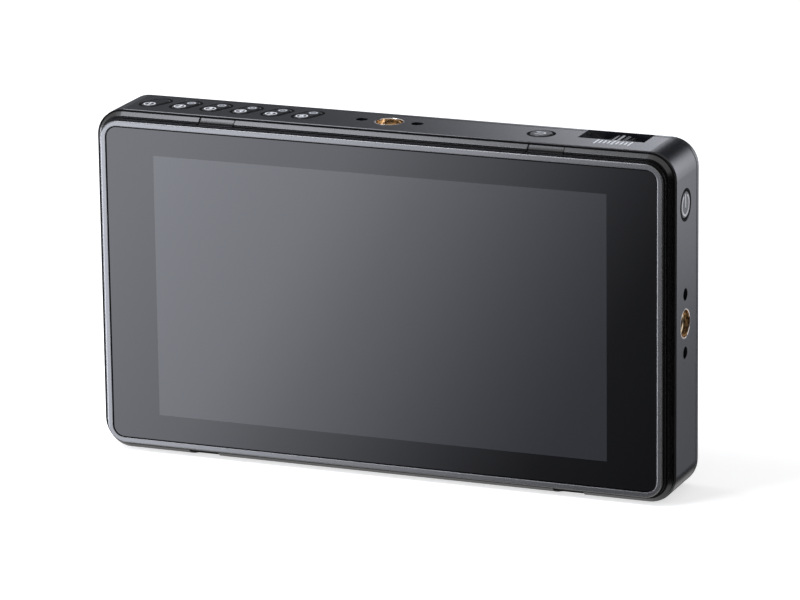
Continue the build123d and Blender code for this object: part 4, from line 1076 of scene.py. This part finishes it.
class MONITOR_OT_stage(bpy.types.Operator):
    """Set the floor, the lights, the world and the camera"""

    bl_idname = "monitor.set_stage"
    bl_label = "Studio"

    def execute(self, context):
        scene = context.scene
        studio = scene.studio_settings
        scene.view_settings.view_transform = "Standard"
        set_world(scene)
        set_floor(studio)
        self.set_lamps(studio)
        self.set_cards(studio)
        camera = bpy.data.objects.new("camera", bpy.data.cameras.new("camera"))
        scene.collection.objects.link(camera)
        camera.location = studio.camera_place
        camera.rotation_euler = Euler(studio.camera_turn)
        camera.data.lens = studio.camera_lens
        camera.data.sensor_width = 36
        camera.data.clip_end = 50
        scene.camera = camera
        return {"FINISHED"}

    def set_lamps(self, studio):
        """A long softbox on the left, which a card stands in for in gloss, and one overhead."""
        left = softbox("left_softbox", around(-100, 0, 0.9), (1.25, 0.62), studio.left_light)
        left.visible_glossy = False
        softbox("top_softbox", around(-137, 54.7, 0.52), (0.26, 0.26), studio.top_light)

    def set_cards(self, studio):
        """Cards that only gloss sees: graded ones before the screen and behind, and black ones round them."""
        # Each stop is a place along the card, from 0 to 1, and the share of the card's light there
        fading = ((0.0, 1.0), (0.3, 0.75), (0.43, 0.57), (0.5, 0.38), (0.6, 0.14), (0.7, 0.02), (1.0, 0.0))
        rising = (
            (0.0, 0.022), (0.12, 0.022), (0.2, 0.016), (0.27, 0.056), (0.34, 0.21), (0.42, 0.03),
            (0.6, 0.035), (0.72, 0.26), (0.9, 0.8),
        )
        sinking = (
            (0.0, 0.0), (0.06, 0.3), (0.12, 0.8), (0.2, 1.0), (0.35, 0.85), (0.5, 0.65), (0.69, 0.56),
            (0.76, 0.26), (0.82, 0.2), (0.95, 0.19), (1.0, 0.0),
        )
        card("front_card", around(-157.4, -15, 0.5), (0.42, 0.42), radians(-31), studio.front_card, fading)
        card("back_card", around(10, 0, 0.5), (1.1, 0.5), pi, studio.back_card, rising, sinking)
        card("left_card", around(-100, -13, 0.9), (1.3, 0.4), 0, studio.left_light)
        card("back_flag", around(0, 15, 1.2), (2.6, 2.4), 0, 0.0)
        card("right_flag", around(122, -10, 0.8), (1.2, 0.9), 0, 0.0)


def around(azimuth, elevation, distance):
    """A place round the monitor: degrees clockwise from its back, degrees above its middle, and metres."""
    turn, rise = radians(azimuth), radians(elevation)
    return Vector((sin(turn) * cos(rise), cos(turn) * cos(rise), sin(rise))) * distance + CENTRE


def aimed(place, roll=0.0):
    """The turn that faces the monitor from a place."""
    return (CENTRE - place).to_track_quat("-Z", "Y").to_matrix().to_4x4() @ Matrix.Rotation(roll, 4, "Z")


def seen_directly(tree):
    """1 for rays from the camera and for those that metal and glass send on, otherwise 0."""
    rays = add_node(tree, "LightPath").outputs
    sent_on = {0: rays["Is Glossy Ray"], 1: rays["Is Transmission Ray"]}
    mirror = add_node(tree, "Math", sent_on, operation="MAXIMUM")
    return add_node(tree, "Math", {0: rays["Is Camera Ray"], 1: mirror}, operation="MAXIMUM")


def set_world(scene):
    """Even pale surroundings: white where they are seen, dimmer where they only light."""
    scene.world = bpy.data.worlds.new("studio")
    scene.world.use_nodes = True
    tree = scene.world.node_tree
    tree.nodes.clear()
    strength = add_node(tree, "MapRange", {"Value": seen_directly(tree), "To Min": 0.35, "To Max": 1.0})
    light = add_node(tree, "Background", {"Color": WHITE, "Strength": strength})
    add_node(tree, "OutputWorld", {"Surface": light})


def set_floor(studio):
    """Plain pale floor that shows white with the monitor's soft shadow on it."""
    floor = begin("plane", size=8, location=(0, 0, 0))
    floor.name = "floor"
    material, tree = new_material("Matt white paper")
    paper = add_node(tree, "BsdfDiffuse", {"Color": rgba(studio.floor_colour)})
    place = add_node(tree, "TexCoord").outputs["Object"]
    away = add_node(tree, "VectorMath", {0: place}, operation="LENGTH")
    # The lamps light the floor less from about a third of a metre out, so its glow rises there
    spread = {"Value": away, "From Min": 0.35, "From Max": 0.8, "To Min": 0.62, "To Max": 0.8}
    level = add_node(tree, "MapRange", spread, interpolation_type="SMOOTHSTEP")
    strength = add_node(tree, "Math", {0: seen_directly(tree), 1: level}, operation="MULTIPLY")
    glow = add_node(tree, "Emission", {"Color": WHITE, "Strength": strength})
    floor.data.materials.append(surfaced(material, add_node(tree, "AddShader", {0: paper, 1: glow})))
    # The lamps and the cards reach below the floor's level, so gloss and lamp rays pass through it
    floor.visible_glossy = False
    floor.visible_shadow = False


def softbox(name, place, size, brightness):
    """A rectangular soft light, as bright as a surface of that brightness, aimed at the monitor."""
    light = bpy.data.lights.new(name, "AREA")
    light.shape = "RECTANGLE"
    light.size, light.size_y = size
    light.energy = brightness * pi * size[0] * size[1]
    light.color = bpy.context.scene.studio_settings.light_colour
    lamp = bpy.data.objects.new(name, light)
    bpy.context.scene.collection.objects.link(lamp)
    lamp.matrix_world = Matrix.Translation(place) @ aimed(place)
    lamp.visible_camera = False
    return lamp


def card(name, place, size, roll, brightness, along=EVEN, across=EVEN):
    """A card with soft edges that only shows in gloss, graded along its length and across it."""
    sheet = begin("plane", size=1)
    sheet.name = name
    sheet.matrix_world = Matrix.Translation(place) @ aimed(place, roll) @ Matrix.Diagonal((*size, 1, 1))
    material, tree = new_material(f"{name}_face")
    parts = coordinates(tree)
    strength, cover = brightness, 1.0
    for axis, levels in (("X", along), ("Y", across)):
        position = add_node(tree, "Math", {0: parts[axis], 1: 0.5}, operation="ADD")
        greys = [(stop, (level, level, level)) for stop, level in levels]
        level = add_node(tree, "ValToRGB", {"Fac": position}, greys, "B_SPLINE")
        strength = add_node(tree, "Math", {0: level, 1: strength}, operation="MULTIPLY")
        from_middle = add_node(tree, "Math", {0: parts[axis]}, operation="ABSOLUTE")
        edge = {"Value": from_middle, "From Min": 0.5, "From Max": 0.4}
        fade = add_node(tree, "MapRange", edge, interpolation_type="SMOOTHSTEP")
        cover = add_node(tree, "Math", {0: fade, 1: cover}, operation="MULTIPLY")
    light = rgba(bpy.context.scene.studio_settings.light_colour)
    glow = add_node(tree, "Emission", {"Color": light, "Strength": strength})
    clear = add_node(tree, "BsdfTransparent")
    face = add_node(tree, "MixShader", {0: cover, 1: clear, 2: glow})
    sheet.data.materials.append(surfaced(material, face))
    material.cycles.emission_sampling = "NONE"
    for kind in ("camera", "diffuse", "transmission", "shadow", "volume_scatter"):
        setattr(sheet, f"visible_{kind}", False)


# ---------------------------------------------------------------- the add-on
STEPS = (
    MONITOR_OT_stage,
    MONITOR_OT_housing,
    MONITOR_OT_bezel,
    MONITOR_OT_screen,
    MONITOR_OT_keys,
    MONITOR_OT_dial,
    MONITOR_OT_mounts,
    MONITOR_OT_sockets,
    MONITOR_OT_battery_bay,
    MONITOR_OT_inside,
)
GROUPS = (MonitorSizes, MonitorColours, StudioSettings)


class MONITOR_PT_panel(bpy.types.Panel):
    """Lists the steps that finish the monitor"""

    bl_idname = "MONITOR_PT_panel"
    bl_label = "Field monitor"
    bl_space_type = "VIEW_3D"
    bl_region_type = "UI"
    bl_category = "Monitor"

    def draw(self, context):
        for step in STEPS:
            self.layout.operator(step.bl_idname)


def register():
    """Register the classes and their settings."""
    for item in (*GROUPS, *STEPS, MONITOR_PT_panel):
        bpy.utils.register_class(item)
    bpy.types.Scene.monitor_sizes = PointerProperty(type=MonitorSizes)
    bpy.types.Scene.monitor_colours = PointerProperty(type=MonitorColours)
    bpy.types.Scene.studio_settings = PointerProperty(type=StudioSettings)


def unregister():
    """Remove the settings and the classes."""
    del bpy.types.Scene.studio_settings
    del bpy.types.Scene.monitor_colours
    del bpy.types.Scene.monitor_sizes
    for item in reversed((*GROUPS, *STEPS, MONITOR_PT_panel)):
        bpy.utils.unregister_class(item)


def main():
    """Finish the monitor, piece by piece."""
    register()
    for step in STEPS:
        group, name = step.bl_idname.split(".")
        getattr(getattr(bpy.ops, group), name)()


if __name__ == "__main__":
    main()
